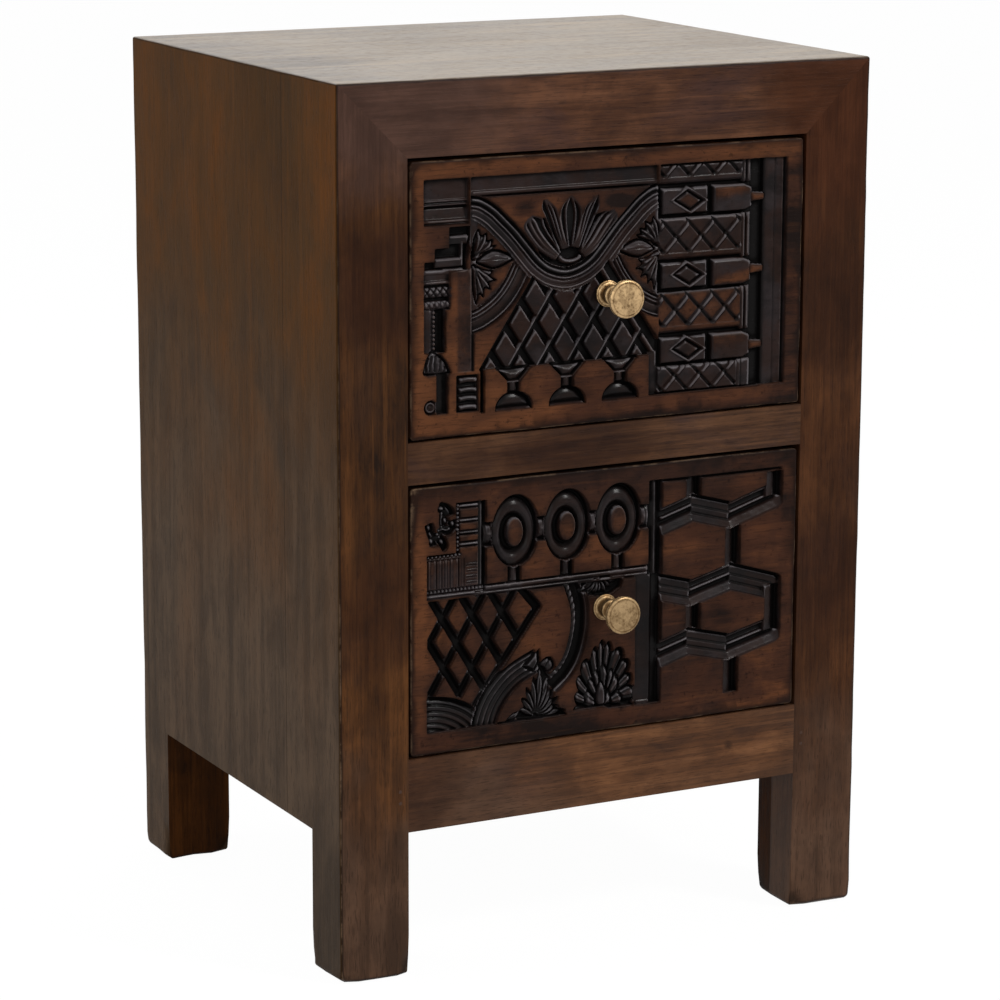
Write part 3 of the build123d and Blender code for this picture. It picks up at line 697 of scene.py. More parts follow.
def blade(board, root, lean, reach, half, vein, top=-0.7, floor=-3.6, stain=0.9):
    """A leaf that springs from root at this lean in degrees, with a vein as long as this."""
    turn = np.radians(lean)
    forwards, sideways = np.array([np.cos(turn), np.sin(turn)]), np.array([-np.sin(turn), np.cos(turn)])
    outline = [root + forwards * (share * reach) + sideways * (side * half) for share, side in BLADE]
    line = smooth(outline, closed=True, pieces=4)
    board.shape(line, [(0, floor), (0.5, floor + 0.5), (1.3, top - 0.7, stain), (2.6, top, stain * 0.85)])
    along = [root + forwards * place for place in (3, (3 + vein) / 2, vein)]
    cut = groove(1.2, 0.4, 0.8, stain * 0.8)
    board.band(along, cut, "add", within=lambda x, z: within_line(x, z, line) > 0.5)


def curls(board):
    """Curls and curled leaves at the top left."""
    for curl in (
        [(73, 319.5), (77, 318.5), (80.5, 316), (82, 312.5)], [(76.5, 315), (76.2, 309), (77, 303.5)],
        [(84, 309), (83, 304.5), (80, 302.5), (76.5, 303.5), (73, 301.5)],
        [(65.5, 308.5), (67, 303), (69, 298), (69, 293.5)],
        [(73, 301.5), (75, 297), (76.5, 293), (74.5, 291.5)],
    ):
        board.band(smooth(curl, pieces=6), STROKE, how="deeper")
    for middle, radii in (
        ((75.5, 317.5), (3.4, 2.6)), ((78.5, 309), (2.2, 3.2)), ((84, 306.5), (2.2, 3.6)),
        ((66.4, 305.5), (2, 3.6)), ((68.2, 296), (2.4, 3)), ((76, 295), (2.6, 3.2)),
        ((72.6, 300.4), (2.4, 1.8)),
    ):
        board.oval(middle, radii, [(0, -1.9, 0.88), (0.4, -2.4, 0.95), (0.75, -3.6), (1, -4.6)])


def combs(board):
    """Strips with teeth and beads."""
    board.slab(85.5, 107.5, 283.5, 320.5, -3.6, 1)
    for low, high in ((310.3, 316.2), (302, 306.6), (294.2, 298.2), (286.4, 290.4)):
        board.slab(89, 102.5, low, high, -0.9, 0.2)
    for middle in (318.2, 308.4, 300.2, 292.2, 284.6):
        board.band([(87, middle), (103, middle)], [
            (-1.5, -3), (-0.5, -1.3, 0.7), (0.5, -1.3, 0.6), (1.5, -3),
        ])
    beads(board, (87.3, 286), (0, 2.75), 13, (1.5, 1.25), [(0, -0.9, 0.6), (0.7, -1.4, 0.8), (1, -3.2)])
    board.upright_rows(259, 320.5, [
        (102.5, -3), (103.6, -1.8, 0.95), (105, -1.9), (107, -4.2), (107.5, -4),
    ])
    board.slab(64, 102.5, 257, 286.5, -0.9, 0.35)
    board.level_rows(64, 89, [
        (282.8, -2.6), (283.6, -1.2, 0.7), (284.6, -1.3, 0.7), (285.4, -3), (287, -3.2),
    ])
    beads(board, (65.6, 285.6), (2.9, 0), 9, (1.3, 1.2), [(0, -0.8, 0.5), (0.7, -1.3, 0.8), (1, -3)])
    for number in range(7):
        middle = 66.2 + 4.1 * number
        board.band([(middle, 264), (middle, 283)], [
            (-1.2, -2.2, 0.9), (-0.5, -0.7, 0.35), (0.8, -0.8, 0.45), (1.2, -2.4),
        ])
    for middle in (278.5, 274.5, 270.5, 266.5):
        board.band([(93, middle), (101.5, middle)], [
            (-1.1, -2.4), (-0.4, -0.8, 0.4), (0.6, -0.8, 0.5), (1.1, -2.4),
        ])
    board.level_rows(64, 107, [
        (257, -3), (258, -1.2, 0.6), (259.4, -1.2, 0.6), (260.2, -3.2), (261, -1.4, 0.7), (262.6, -1.3, 0.6),
        (263.6, -3),
    ])
    for number in range(15):
        board.slab(66 + 2.8 * number, 66.9 + 2.8 * number, 261, 263, -2.8, 1)


def rings(board):
    """Three oval rings with their stems and links, over a moulding."""
    for middle in (129, 168.5, 207.5):
        board.slab(middle - 4.8, middle + 4.8, 262, 274, -3.8, 1)
        board.upright_rows(262, 274, [
            (middle - 4, -3.6), (middle - 1.6, -1.4, 0.85), (middle, -1, 0.75), (middle + 1.6, -1.5, 0.9),
            (middle + 4, -3.8),
        ])
    for left, right in ((106.5, 113), (144, 153.5), (184, 192.5), (223, 231.5)):
        board.level_rows(left, right, [
            (288.6, -1, 0.6), (289.4, -3.8), (293, -2.2, 0.95), (297.5, -1.3, 0.8), (302, -2.4, 0.95),
            (305, -3.9), (305.6, -1, 0.6),
        ])
        board.level_rows((left + right) / 2 - 1.6, (left + right) / 2 + 1.6, [
            (290, -3.2), (293, -1.4, 0.8), (297.5, -0.5, 0.55), (302, -1.4, 0.8), (304.4, -3.2),
        ])
    for middle in (129, 168.5, 207.5):
        board.oval((middle + 0.7, 297.6), (17.4, 24.2), [
            (0, -4.8), (0.985, -4.8), (1.02, -0.3, 0.3), (1.03, 0, 0.2),
        ])
        board.oval((middle - 0.7, 296.2), (17, 24), [
            (0, -5), (0.46, -4.8), (0.54, -3.2, 0.97), (0.62, -1.6, 0.9), (0.71, -0.9, 0.84),
            (0.8, -1.1, 0.86), (0.9, -2, 0.92), (1, -3.6),
        ], within=lambda x, z: np.hypot((x - middle - 0.7) / 17.4, (z - 297.6) / 24.2) < 0.99)
        board.oval((middle + 0.7, 296.4), (6.4, 9.9), [
            (0, -0.8, 0.22), (0.9, -0.9, 0.28), (1, -1.6, 0.8), (1.06, -5),
        ])
    board.level_rows(100, 233, [
        (255.4, -0.4, 0.3), (255.8, -3.2), (256.8, -1.6, 0.7), (258, -1.5, 0.6), (258.6, -3),
        (259.6, -1.3, 0.6), (261.8, -1, 0.55), (262.6, -2.4, 0.9), (263.2, -3.4), (263.6, -0.4, 0.3),
    ], how="deeper")


def fret(board):
    """The fret of long hexagons at the right."""
    board.upright_rows(166, 321.5, [
        (231.5, -0.2, 0.2), (232, -4.2), (234, -3.6), (236.4, -1.8, 0.9), (237.4, -2.2), (241.4, -4.6),
        (242, -1.2, 0.6),
    ])
    for x, low, high in (
        (266.2, 299, 320.5), (329.8, 301, 318.5), (297.6, 247, 291), (267, 206, 240), (330, 206, 238),
        (297.6, 165.5, 198),
    ):
        board.band([(x, low), (x, high)], ROOF, how="deeper")
    for line in (FRET_HIGH, FRET_MIDDLE, FRET_LOW):
        spot, x, z = board.near(line, 12)
        across = beside(x, z, line)[0]
        climbs = np.array([after[1] > before[1] for before, after in zip(line[:-1], line[1:])])
        rising = climbs[np.clip(np.searchsorted([place[0] for place in line], x) - 1, 0, len(climbs) - 1)]
        for profile, chosen in ((FRET_RISING, rising), (FRET_FALLING, ~rising)):
            inside = chosen & (np.abs(across) < 9.4) & (x > 241.4) & (x < 336.6)
            board.cut(spot, inside, *profiled(across, profile))
    for low, high in ((301, 318.5), (206, 238)):
        board.upright_rows(low, high, [
            (324, 0, 0.2), (324.5, -0.9, 0.74), (325, -0.9, 0.82), (330, -2.2, 0.9), (332.6, -4.4),
            (336.4, -5.2), (337, 0, 0.2),
        ])
    board.level_rows(232, 336, [
        (319.4, -1.2, 0.6), (319.9, -2.2), (321, -2.2), (321.4, -0.2, 0.3),
    ], how="deeper")


def lower_lattice(board):
    """Crossed bars at the left."""

    def lattice_zone(x, z):
        return (z < 256) & (x > 64.5) & ((x - 99) * (244 - 180) / (146.5 - 99) + 180 < z + 2.4)

    for start, end in (
        ((66.6, 259), (108, 191)), ((89, 259), (121, 207)), ((111, 259), (133, 223)),
        ((133.5, 259), (147, 243)), ((65.5, 229), (89.5, 189.5)),
    ):
        board.band([start, end], BAR, how="deeper", within=lattice_zone)
    for start, end in (((65.5, 227), (85.5, 259)), ((65, 190), (107.5, 259)), ((87, 189), (129.5, 258))):
        board.band([start, end], SLANT, how="deeper", within=lattice_zone)
    board.band([(96, 176), (147.5, 245.6)], SLANT, how="deeper")


def crescent(board):
    """A crescent with a twisted rope along it."""
    centre = smooth([(173, 258), (178.4, 241), (178.6, 225), (174.4, 208), (167.6, 196.6), (157, 187.6)])
    board.band(centre, [
        (-7, 0, 0.2), (-6.6, -3, 0.98), (-5.4, -2, 0.88), (-3.2, -1.7, 0.82), (-2.1, -3.2), (-0.8, -5.2),
        (3, -5), (4.4, -3.2), (5.2, -1.7, 0.8), (6, -1.5, 0.72), (6.5, -2.8, 0.95), (6.9, 0, 0.2),
    ], within=lambda x, z: z < 256)
    spot, x, z = board.near(centre, 7)
    across, along, beyond = beside(x, z, centre)
    skew = along + 0.7 * across
    lump = np.sin(skew / 5.2 * 2 * np.pi + 1.6 * np.sin(along / 9)) * (0.6 + 0.4 * np.sin(along / 13 + 1))
    inside = (across > -6.2) & (across < -1.8) & ~beyond & (z < 256)
    board.cut(spot, inside, 0.45 * lump, np.clip(0.86 - 0.12 * lump, 0.7, 1), "add")


def wave(board):
    """Rings of a wave at the lower left."""
    spot, x, z = board.near([(64, 166), (101, 191)], 0)
    ring = np.hypot((x - 66) / 1.16, z - 146)
    crests = [
        (0, -1.9, 0.9), (21.5, -2.1, 0.9), (22, -3.2), (23.5, -2, 0.85), (25, -2.2, 0.9), (26, -3.2),
        (27.4, -1.9, 0.85), (29.6, -2.2, 0.92), (30.4, -3.2), (31.6, -1.9, 0.85), (33.4, -2.2, 0.9),
        (34.2, -3.2), (35.6, -2, 0.86), (37.6, -2.4, 0.95), (38.6, -3.6), (40.2, -2.4, 0.95), (42, -3.2),
        (43.6, -4.4), (44.4, -4.2), (44.9, 0, 0.2),
    ]
    board.cut(spot, ring < 44.9, *profiled(ring, crests))


def leaf_arch(board):
    """The grooved arch over the leaves."""
    arch = smooth([(105.5, 162), (110, 176), (117.5, 188), (129, 198.5), (147, 207)])
    board.band(arch, [
        (-8.6, 0, 0.2), (-8.2, -3), (-7.2, -1.9, 0.85), (-5.8, -2.1, 0.9), (-4.6, -3.2), (-3.2, -1.8, 0.85),
        (-1.4, -2.2, 0.92), (-0.6, -3.2), (0.8, -1.8, 0.85), (2.2, -2.2, 0.92), (3, -3.2), (4.4, -2.2, 0.9),
        (6, -3.2), (7.4, -4.6), (8.2, -4.2), (8.6, 0, 0.2),
    ], within=lambda x, z: z > 166)
    board.shape([(136, 203), (148, 215), (149, 205), (145, 198)], [(0, -3.8), (0.6, -3.2), (2.4, -1, 0.9)])
    board.slab(117, 140, 165.5, 167, -2.6, 0.9)


def acanthus(board):
    """A fan of leaves that springs from the foot of the arch."""
    blade(board, (151, 196), 62, 13, 5.6, 12, top=-0.9)
    board.shape(smooth([
        (147, 196), (151, 202), (156, 195), (156, 184), (158, 176), (168.5, 167.5), (165, 165.8),
        (134, 165.8), (134, 172), (139, 179), (144, 187),
    ], closed=True, pieces=4), [(0, -3.4), (1, -4.6)])
    for lean, reach, half in (
        (8, 21, 2.4), (24, 17, 2.6), (40, 20, 2.6), (57, 23, 2.6), (71, 29, 2.8), (84, 33, 2.8),
        (97, 29, 2.6), (112, 24, 2.5), (129, 20, 2.4), (150, 16, 2.2),
    ):
        blade(board, (147.5, 166.5), lean, reach, half, reach * 0.9, top=-1.7, floor=-4.4, stain=0.98)
    blade(board, (122, 166.5), 24, 14, 2.4, 12, top=-0.4, stain=0.6)


def half_rosette(board):
    """Half a rosette under the moulding."""
    board.shape([
        (180, 256), (212, 256), (210, 250), (204, 246.4), (196, 245), (188, 246.4), (182, 250),
    ], [(0, -3.4), (1, -4.4)])
    for lean, reach in ((-16, 15), (-38, 13), (-61, 13.5), (-84, 12), (-103, 13), (-127, 14.5), (-150, 17)):
        blade(board, (194, 258), lean, reach, 2.5, 12, top=-1.9, floor=-4.4, stain=1)
    board.slab(178, 214, 255.6, 257.4, -2, 0.8)


def shell(board):
    """Three tiers of ribbed lobes round a bud."""
    spot, x, z = board.near([(172, 165.5), (224, 218)], 0)
    u, v = (x - 198.5) / 24.5, (z - 168) / 46
    reach, turn = np.hypot(u, v), np.arctan2(v, u)
    for count, ribs, inner, outer, lift in (
        (10, 30, 0.52, 1, 0), (7, 21, 0.24, 0.62, 0.3), (3, 9, 0, 0.3, 0.5),
    ):
        sway = turn + 0.06 * np.sin(turn * 5.3 + count) + 0.1 * (reach - inner)
        phase = (sway / np.pi) * count
        lobe = np.abs(np.sin(np.pi * phase))
        rim = outer * (0.84 + 0.16 * lobe**0.55 + 0.03 * np.sin(turn * 7.7 + 1.3))
        inside = (reach < rim) & (reach >= inner * 0.86) & (z > 166) & (turn > -0.3) & (turn < np.pi + 0.3)
        body = np.clip((rim - reach) / 0.11, 0, 1) ** 0.7
        fine = np.abs(np.sin(np.pi * (sway / np.pi) * ribs))
        outwards = np.clip((reach - inner) / (outer - inner), 0, 1)
        level = -4.4 + (3.3 + lift * 0.5) * lobe**0.55 * body
        level = level - 0.9 * (1 - outwards) - 0.8 * (1 - fine) ** 2 * body
        board.cut(spot, inside, level, np.clip(1 - 0.5 * (level + 2.2), 0.5, 1))
    bud = [(193.4, 169), (192.4, 176), (194, 183), (196.4, 185.6), (198.8, 183), (200.2, 176), (199.4, 169)]
    board.shape(smooth(bud, closed=True, pieces=4), [(0, -4), (0.7, -2.6), (1.6, -1, 0.7), (3, -0.6, 0.55)])


def flat_bar(board):
    """The flat bar between the shell and the fret."""
    board.upright_rows(165.5, 256, [
        (222, -2.6, 0.88), (234, -2.6, 0.92), (236.4, -4.2), (241, -4.6),
    ])
    board.slab(224, 234, 166, 168, -2, 0.7)


def carve_lower(pitch):
    """The carving of the lower front, worked out at this pitch."""
    board = Relief(51.5, 348.5, 151, 334, pitch)
    curls(board)
    combs(board)
    rings(board)
    fret(board)
    lower_lattice(board)
    crescent(board)
    wave(board)
    leaf_arch(board)
    acanthus(board)
    half_rosette(board)
    shell(board)
    flat_bar(board)
    return board


# ---- paint


class Wire:
    """A node's output, which can be used in arithmetic."""

    def __init__(self, paint, socket):
        self.paint = paint
        self.socket = socket

    def out(self, name):
        """Another output of the same node."""
        return Wire(self.paint, self.socket.node.outputs[name])

    def __add__(self, other):
        return self.paint.maths("ADD", self, other)

    def __sub__(self, other):
        return self.paint.maths("SUBTRACT", self, other)

    def __rsub__(self, other):
        return self.paint.maths("SUBTRACT", other, self)

    def __mul__(self, other):
        return self.paint.maths("MULTIPLY", self, other)

    __radd__ = __add__
    __rmul__ = __mul__


class Tree:
    """A node tree under construction."""

    def __init__(self, tree):
        self.tree = tree

    def node(self, kind, settings=None, sockets=None, output=0):
        """A node of this type. Its settings, or a ramp's stops, are made before its sockets are filled."""
        made = self.tree.nodes.new(kind)
        for name, value in (settings or {}).items():
            if name == "stops":
                while len(made.color_ramp.elements) < len(value):
                    made.color_ramp.elements.new(1.0)
                for element, (place, colour) in zip(made.color_ramp.elements, value):
                    element.position, element.color = place, flat(colour)
            else:
                setattr(made, name, value)
        for name, value in (sockets or {}).items():
            if isinstance(value, Wire):
                self.tree.links.new(value.socket, made.inputs[name])
            else:
                made.inputs[name].default_value = value
        return Wire(self, made.outputs[output]) if made.outputs else None

    def maths(self, operation, *values, clamp=False):
        return self.node(
            "ShaderNodeMath", {"operation": operation, "use_clamp": clamp}, dict(enumerate(values)),
        )

    def vectors(self, operation, *values, output=0):
        return self.node("ShaderNodeVectorMath", {"operation": operation}, dict(enumerate(values)), output)


class Paint(Tree):
    """A material, or the air of a world, under construction."""

    def __init__(self, name, owner=None):
        self.owner = owner or bpy.data.materials.new(name)
        self.owner.use_nodes = True
        super().__init__(self.owner.node_tree)
        self.tree.nodes.clear()

    def smoothstep(self, value, low, high):
        """0 below low, 1 above high."""
        ends = {"From Min": low, "From Max": high, "To Min": 0.0, "To Max": 1.0}
        return self.node("ShaderNodeMapRange", {"interpolation_type": "SMOOTHSTEP"}, {"Value": value, **ends})

    def mix(self, share, a, b):
        """Colour a, turning into b as share goes to 1."""
        return self.node("ShaderNodeMix", {"data_type": "RGBA"}, {0: share, 6: flat(a), 7: flat(b)}, output=2)

    def noise(self, where, scale, detail=3.0, roughness=0.5, distortion=0.0):
        sizes = {"Scale": scale, "Detail": detail, "Roughness": roughness, "Distortion": distortion}
        return self.node("ShaderNodeTexNoise", None, {"Vector": where, **sizes})

    def place(self, scale=(1, 1, 1), shift=(0, 0, 0), turn=(0, 0, 0)):
        """Object coordinates in metres, moved, turned and stretched."""
        where = self.node("ShaderNodeTexCoord", output="Object")
        moves = {"Location": shift, "Rotation": turn, "Scale": scale}
        return self.node("ShaderNodeMapping", None, {"Vector": where, **moves})

    def attribute(self, name):
        """A number that the mesh carries."""
        return self.node("ShaderNodeAttribute", {"attribute_name": name}, output="Fac")

    def bump(self, height, distance, strength=1.0):
        return self.node("ShaderNodeBump", None, {
            "Height": height, "Distance": distance, "Strength": strength,
        })

    def finish(self, **sockets):
        """The surface shader, named sockets with spaces for underscores."""
        named = {name.replace("_", " "): value for name, value in sockets.items()}
        named["Base Color"] = flat(named["Base Color"])
        shader = self.node("ShaderNodeBsdfPrincipled", None, named)
        self.node("ShaderNodeOutputMaterial", None, {"Surface": shader})
        return self.owner

    def seen_plainly(self):
        """1 for what the camera sees itself, in a reflection or through glass, 0 for light on the cabinet."""
        rays = self.node("ShaderNodeLightPath", output="Is Camera Ray")
        seen = self.maths("MAXIMUM", rays, rays.out("Is Glossy Ray"))
        return self.maths("MAXIMUM", seen, rays.out("Is Transmission Ray"))


def flat(colour):
    """A colour with its alpha, or a wire as it is."""
    return colour if isinstance(colour, Wire) else (*colour[:3], 1.0)


def tones_of(settings, part):
    """The dark, middle, warm and smoky tones of one part of the cabinet."""
    return [getattr(settings, f"{part}_{tone}") for tone in ("dark", "middle", "warm", "smoke")]


def shade(colour, factor):
    """A colour made darker or lighter, by one factor or by one for each channel."""
    return tuple(np.array(colour[:3]) * factor)


AXES = {"x": 0, "y": 1, "z": 2}


class Wood(Paint):
    """Stained wood, with its grain along one axis."""

    def __init__(self, name, grain, seed):
        super().__init__(name)
        self.grain = AXES[grain]
        self.shift = (seed * 0.731, seed * 1.173, seed * 0.417)
        self.here = self.place()
        self.cloud = self.grained(0.55, 10.0, 3.0, 0.55, 0.5)
        self.smoke = self.grained(0.6, 15.0, 5.0, 0.62, 0.8)
        self.mottle = self.grained(0.6, 46.0, 5.0, 0.62, 0.4)
        self.streak = self.grained(0.06, 75.0, 5.0, 0.62, 0.5)
        self.fibre = self.grained(0.035, 600.0, 2.0, 0.6)
        self.line = self.grained(0.035, 190.0, 4.0, 0.6)
        self.pores = self.smoothstep(self.grained(0.1, 1100.0, 1.0, 0.5), 0.58, 0.66)

    def grained(self, stretch, scale, detail=3.0, roughness=0.5, distortion=0.0):
        """Noise drawn out along the grain."""
        sizes = [1.0, 1.0, 1.0]
        sizes[self.grain] = stretch
        return self.noise(
            self.place(scale=tuple(sizes), shift=self.shift), scale, detail, roughness, distortion,
        )

    def reach(self, centre, radii):
        """0 at this centre and 1 on the surface of an oval round it."""
        away = self.vectors("DIVIDE", self.vectors("SUBTRACT", self.here, centre), radii)
        return self.vectors("LENGTH", away, output="Value")

    def patch(self, centre, radii):
        """1 in the middle of a soft, uneven patch, 0 outside it."""
        uneven = self.reach(centre, radii) + (self.mottle - 0.5) * 1.2 + (self.streak - 0.5) * 0.9
        return 1 - self.smoothstep(uneven, 0.35, 1.15)

    def coloured(self, tones, patches=(), smokiness=0.42, shares=(0.42, 0.26, 0.32), grain=0.34):
        """The colour from dark, middle, warm and smoky tones. Patches are (centre, radii, amount)."""
        dark, middle, warm, smoky = tones
        tone = self.cloud * shares[0] + self.streak * shares[1] + self.mottle * shares[2]
        for centre, radii, amount in patches:
            tone = tone + self.patch(centre, radii) * amount
        stops = [(0.36, dark), (0.445, between(dark, middle, 0.72)), (0.5, middle), (0.61, warm)]
        ramp = self.node("ShaderNodeValToRGB", {"stops": stops}, {"Fac": tone})
        ramp = self.mix(self.smoothstep(self.smoke, 0.46, 0.64) * smokiness, ramp, smoky)
        ramp = self.mix(self.smoothstep(self.fibre, 0.4, 0.66) * grain, ramp, shade(dark, 0.8))
        ramp = self.mix(self.smoothstep(self.line, 0.53, 0.66) * grain * 0.8, ramp, shade(warm, 1.2))
        return self.mix(self.pores * 0.26, ramp, shade(dark, 0.35))

    def overlay(self, centre, radii):
        """The same soft patch on every board, so that it runs on across a joint."""
        blur = self.noise(self.here, 26.0, 4.0, 0.6)
        return 1 - self.smoothstep(self.reach(centre, radii) + (blur - 0.5) * 1.1, 0.4, 1.25)

    def along(self, axis):
        """The place along one axis of the cabinet."""
        return self.node("ShaderNodeSeparateXYZ", None, {"Vector": self.here}, output="XYZ"[axis])

    def relief(self, depth=1.0):
        """Grain and pores as a bump."""
        height = self.streak * 0.3 + self.fibre * 0.3 - self.pores * 0.7 + self.mottle * 0.2
        return self.bump(height, 0.00018 * depth, 0.6)


def between(a, b, share):
    """A colour part of the way from a to b."""
    return tuple(np.array(a[:3]) + (np.array(b[:3]) - np.array(a[:3])) * share)


# ---- sizes and colours


def colour(name, description, *default):
    return FloatVectorProperty(name=name, description=description, subtype="COLOR", size=3, default=default)


def length(name, description, default, **limits):
    return FloatProperty(name=name, description=description, default=default, unit="LENGTH", **limits)


def angle(name, description, degrees):
    return FloatProperty(name=name, description=description, default=np.radians(degrees), subtype="ANGLE")


def power(name, description, watts):
    return FloatProperty(name=name, description=description, default=watts, min=0.0, unit="POWER")


class WoodSettings(bpy.types.PropertyGroup):
    frame_dark: colour("Frame, dark", "Darkest stain of the face frame", 0.015, 0.008, 0.0055)
    frame_middle: colour("Frame, middle", "Common colour of the face frame", 0.06, 0.024, 0.0092)
    frame_warm: colour("Frame, warm", "Warm brown of the face frame", 0.118, 0.048, 0.0175)
    frame_smoke: colour("Frame, smoky", "Smoky stain over the face frame", 0.034, 0.019, 0.015)
    frame_mauve: colour(
        "Frame, mauve", "Dull mauve brown at the top of the face frame", 0.063, 0.0325, 0.0235,
    )
    side_dark: colour("Sides, dark", "Darkest stain of the side panels", 0.034, 0.017, 0.0063)
    side_middle: colour("Sides, middle", "Common colour of the side panels", 0.06, 0.0272, 0.0085)
    side_warm: colour("Sides, warm", "Warm brown of the side panels", 0.083, 0.0323, 0.0074)
    side_smoke: colour("Sides, smoky", "Smoky stain over the sides", 0.045, 0.0247, 0.0104)
    side_foot: colour("Sides, low", "Greyer brown near the foot of the side panels", 0.063, 0.043, 0.029)
    frame_foot: colour("Frame, low", "Worn brown near the feet of the face frame", 0.078, 0.043, 0.027)
    frame_red: colour("Frame, red", "Dark red brown at the far top corner", 0.046, 0.015, 0.0062)
    # The top's tones are paler than the frame's and the sides', partly a painted sheen for the glancing
    # reflection on the waxed top.
    top_dark: colour("Top, dark", "Darkest stain of the top board", 0.055, 0.033, 0.016)
    top_middle: colour("Top, middle", "Common colour of the top board", 0.13, 0.085, 0.041)
    top_warm: colour("Top, warm", "Palest wood of the top board", 0.205, 0.138, 0.07)
    top_smoke: colour("Top, smoky", "Smoky stain over the top", 0.085, 0.054, 0.028)
    carved_dark: colour("Fronts, dark", "Darkest stain of the drawer fronts", 0.01, 0.0058, 0.0048)
    carved_middle: colour("Fronts, middle", "Common colour of the drawer fronts", 0.05, 0.0195, 0.0108)
    carved_warm: colour("Fronts, warm", "Orange brown of the drawer fronts", 0.108, 0.04, 0.0165)
    carved_smoke: colour("Fronts, smoky", "Smoky stain over the drawer fronts", 0.014, 0.0088, 0.008)
    carving_grey: colour(
        "Carving, thin stain", "Thinner, greyer stain on the raised carving", 0.0125, 0.0092, 0.0095,
    )
    # The carving's polish colour is a painted highlight on its crests, with some rubbing.
    highlight_polish: colour("Carving, polish", "Rubbed crests of the stained carving", 0.125, 0.114, 0.121)
    carved_rubbed: colour("Fronts, rubbed", "Brown wood rubbed bare on the fronts", 0.11, 0.06, 0.036)
    black: colour("Carving stain", "Black stain in the carving", 0.003, 0.0024, 0.0024)
    rubbed: colour("Rubbed edges", "Wood that shows where the stain is rubbed away", 0.22, 0.14, 0.085)
    inner_dark: colour("Inner wood, dark", "Darkest grain of the unstained inner wood", 0.15, 0.08, 0.04)
    inner_middle: colour("Inner wood, middle", "Common colour of the inner wood", 0.27, 0.16, 0.085)
    inner_warm: colour("Inner wood, light", "Lightest grain of the inner wood", 0.4, 0.25, 0.14)
    inner_smoke: colour("Inner wood, smoky", "Duller patches of the inner wood", 0.2, 0.12, 0.065)
    roughness: FloatProperty(
        name="Wax roughness", description="Roughness of the waxed wood", default=0.42, min=0.0, max=1.0,
    )


class EdgeSettings(bpy.types.PropertyGroup):
    rounding: length("Edge rounding", "Mean rounding of the outer edges", 2.3 * MM, min=0.0)
    wander: length("Edge wander", "How much the rounding varies along an edge", 0.9 * MM, min=0.0)
    waviness: length("Waviness", "Unevenness of the planed faces", 0.18 * MM, min=0.0)
    foot_rounding: length("Foot rounding", "Rounding of the edges under a foot", 5.4 * MM, min=0.0)
    foot_wander: length("Foot wander", "How much a foot's rounding varies", 2.4 * MM, min=0.0)
    foot_height: length("Foot height", "How far up a foot its rounding fades away", 20 * MM, min=1 * MM)
    mesh_step: length("Mesh step", "Spacing of the loops along a board", 14 * MM, min=1 * MM)


class CarvingSettings(bpy.types.PropertyGroup):
    pitch: length("Pitch", "Spacing of the points that the carving is worked out at", 0.4 * MM, min=0.2 * MM)
    quick_pitch: length("Trial pitch", "The same, while trying things", 0.7 * MM, min=0.2 * MM)
    depth: FloatProperty(
        name="Depth", description="Depth of the carving against its drawing", default=1.3, min=0.1, max=1.5
    )
    triangles: IntProperty(
        name="Triangles", description="Most triangles in one carved front", default=186000, min=1000
    )
    edge_rounding: length("Edge rounding", "Rounding of a front's worn edges", 2.4 * MM, min=0.0)
    edge_depth: length("Edge depth", "How far back a front's worn edges reach", 4.5 * MM, min=0.0)
    corner: length("Corner rounding", "Rounding of a front's four corners", 4.5 * MM, min=0.0)


class KnobSettings(bpy.types.PropertyGroup):
    brass: colour("Brass", "Rubbed brass", 0.5, 0.342, 0.18)
    patina: colour("Patina", "Old brass in the hollows", 0.11, 0.062, 0.026)
    sides: IntProperty(name="Sides", description="Faces round a knob", default=96, min=16)


class StageSettings(bpy.types.PropertyGroup):
    azimuth: angle("Azimuth", "Camera's turn round the cabinet", -27.549)
    elevation: angle("Elevation", "Camera's height above level", 12.694)
    roll: angle("Roll", "Camera's tilt", 0.2103)
    distance: length("Distance", "Camera to the point it turns round", 2.6037)
    shift_right: length("Shift right", "Camera's sideways step", -0.00835)
    shift_up: length("Shift up", "Camera's upward step", 0.00332)
    lens: FloatProperty(name="Lens", description="Focal length in millimetres", default=132.915, min=1.0)
    key: power("Key light", "Power of the lamp at the upper right in front", 62.0)
    side: power("Side light", "Power of the lamp at the left", 35.0)
    fill: power("Fill light", "Power of the lamp at the left in front", 16.0)
    top: power("Top light", "Power of the overhead lamp", 20.0)
    room: FloatProperty(
        name="Room light", description="Strength of the soft light from all round", default=0.38, min=0.0,
    )
    whiteness: FloatProperty(
        name="Whiteness", description="How far the floor is seen as plain white", default=0.95, min=0.0,
        max=1.0,
    )


GROUPS = {
    "cabinet_wood": WoodSettings,
    "cabinet_edges": EdgeSettings,
    "cabinet_carving": CarvingSettings,
    "cabinet_knobs": KnobSettings,
    "cabinet_stage": StageSettings,
}


# ---- woods of this cabinet


def shaded_and_rubbed_edge(wood, colour, dark, rubbed, high_up=0.22, low=0.35):
    """Painted shade darkening the rounded edges, with the stain rubbed off them in places, most near the
    feet.
    """
    wear = wood.attribute("wear")
    # painted shade: the rounded edges are darkened
    colour = wood.mix(wood.smoothstep(wear, 0.02, 0.55) * 0.82, colour, dark)
    patchy = wood.smoothstep(wood.noise(wood.here, 55.0, 5.0, 0.7), 0.44, 0.6)
    lower = 1 - wood.smoothstep(wood.along(2), 0.14, 0.44)
    share = wood.smoothstep(wear + (wood.mottle - 0.5) * 0.5, low, 1.15) * patchy
    return wood.mix(share * (lower * (0.7 - high_up) + high_up), colour, rubbed)


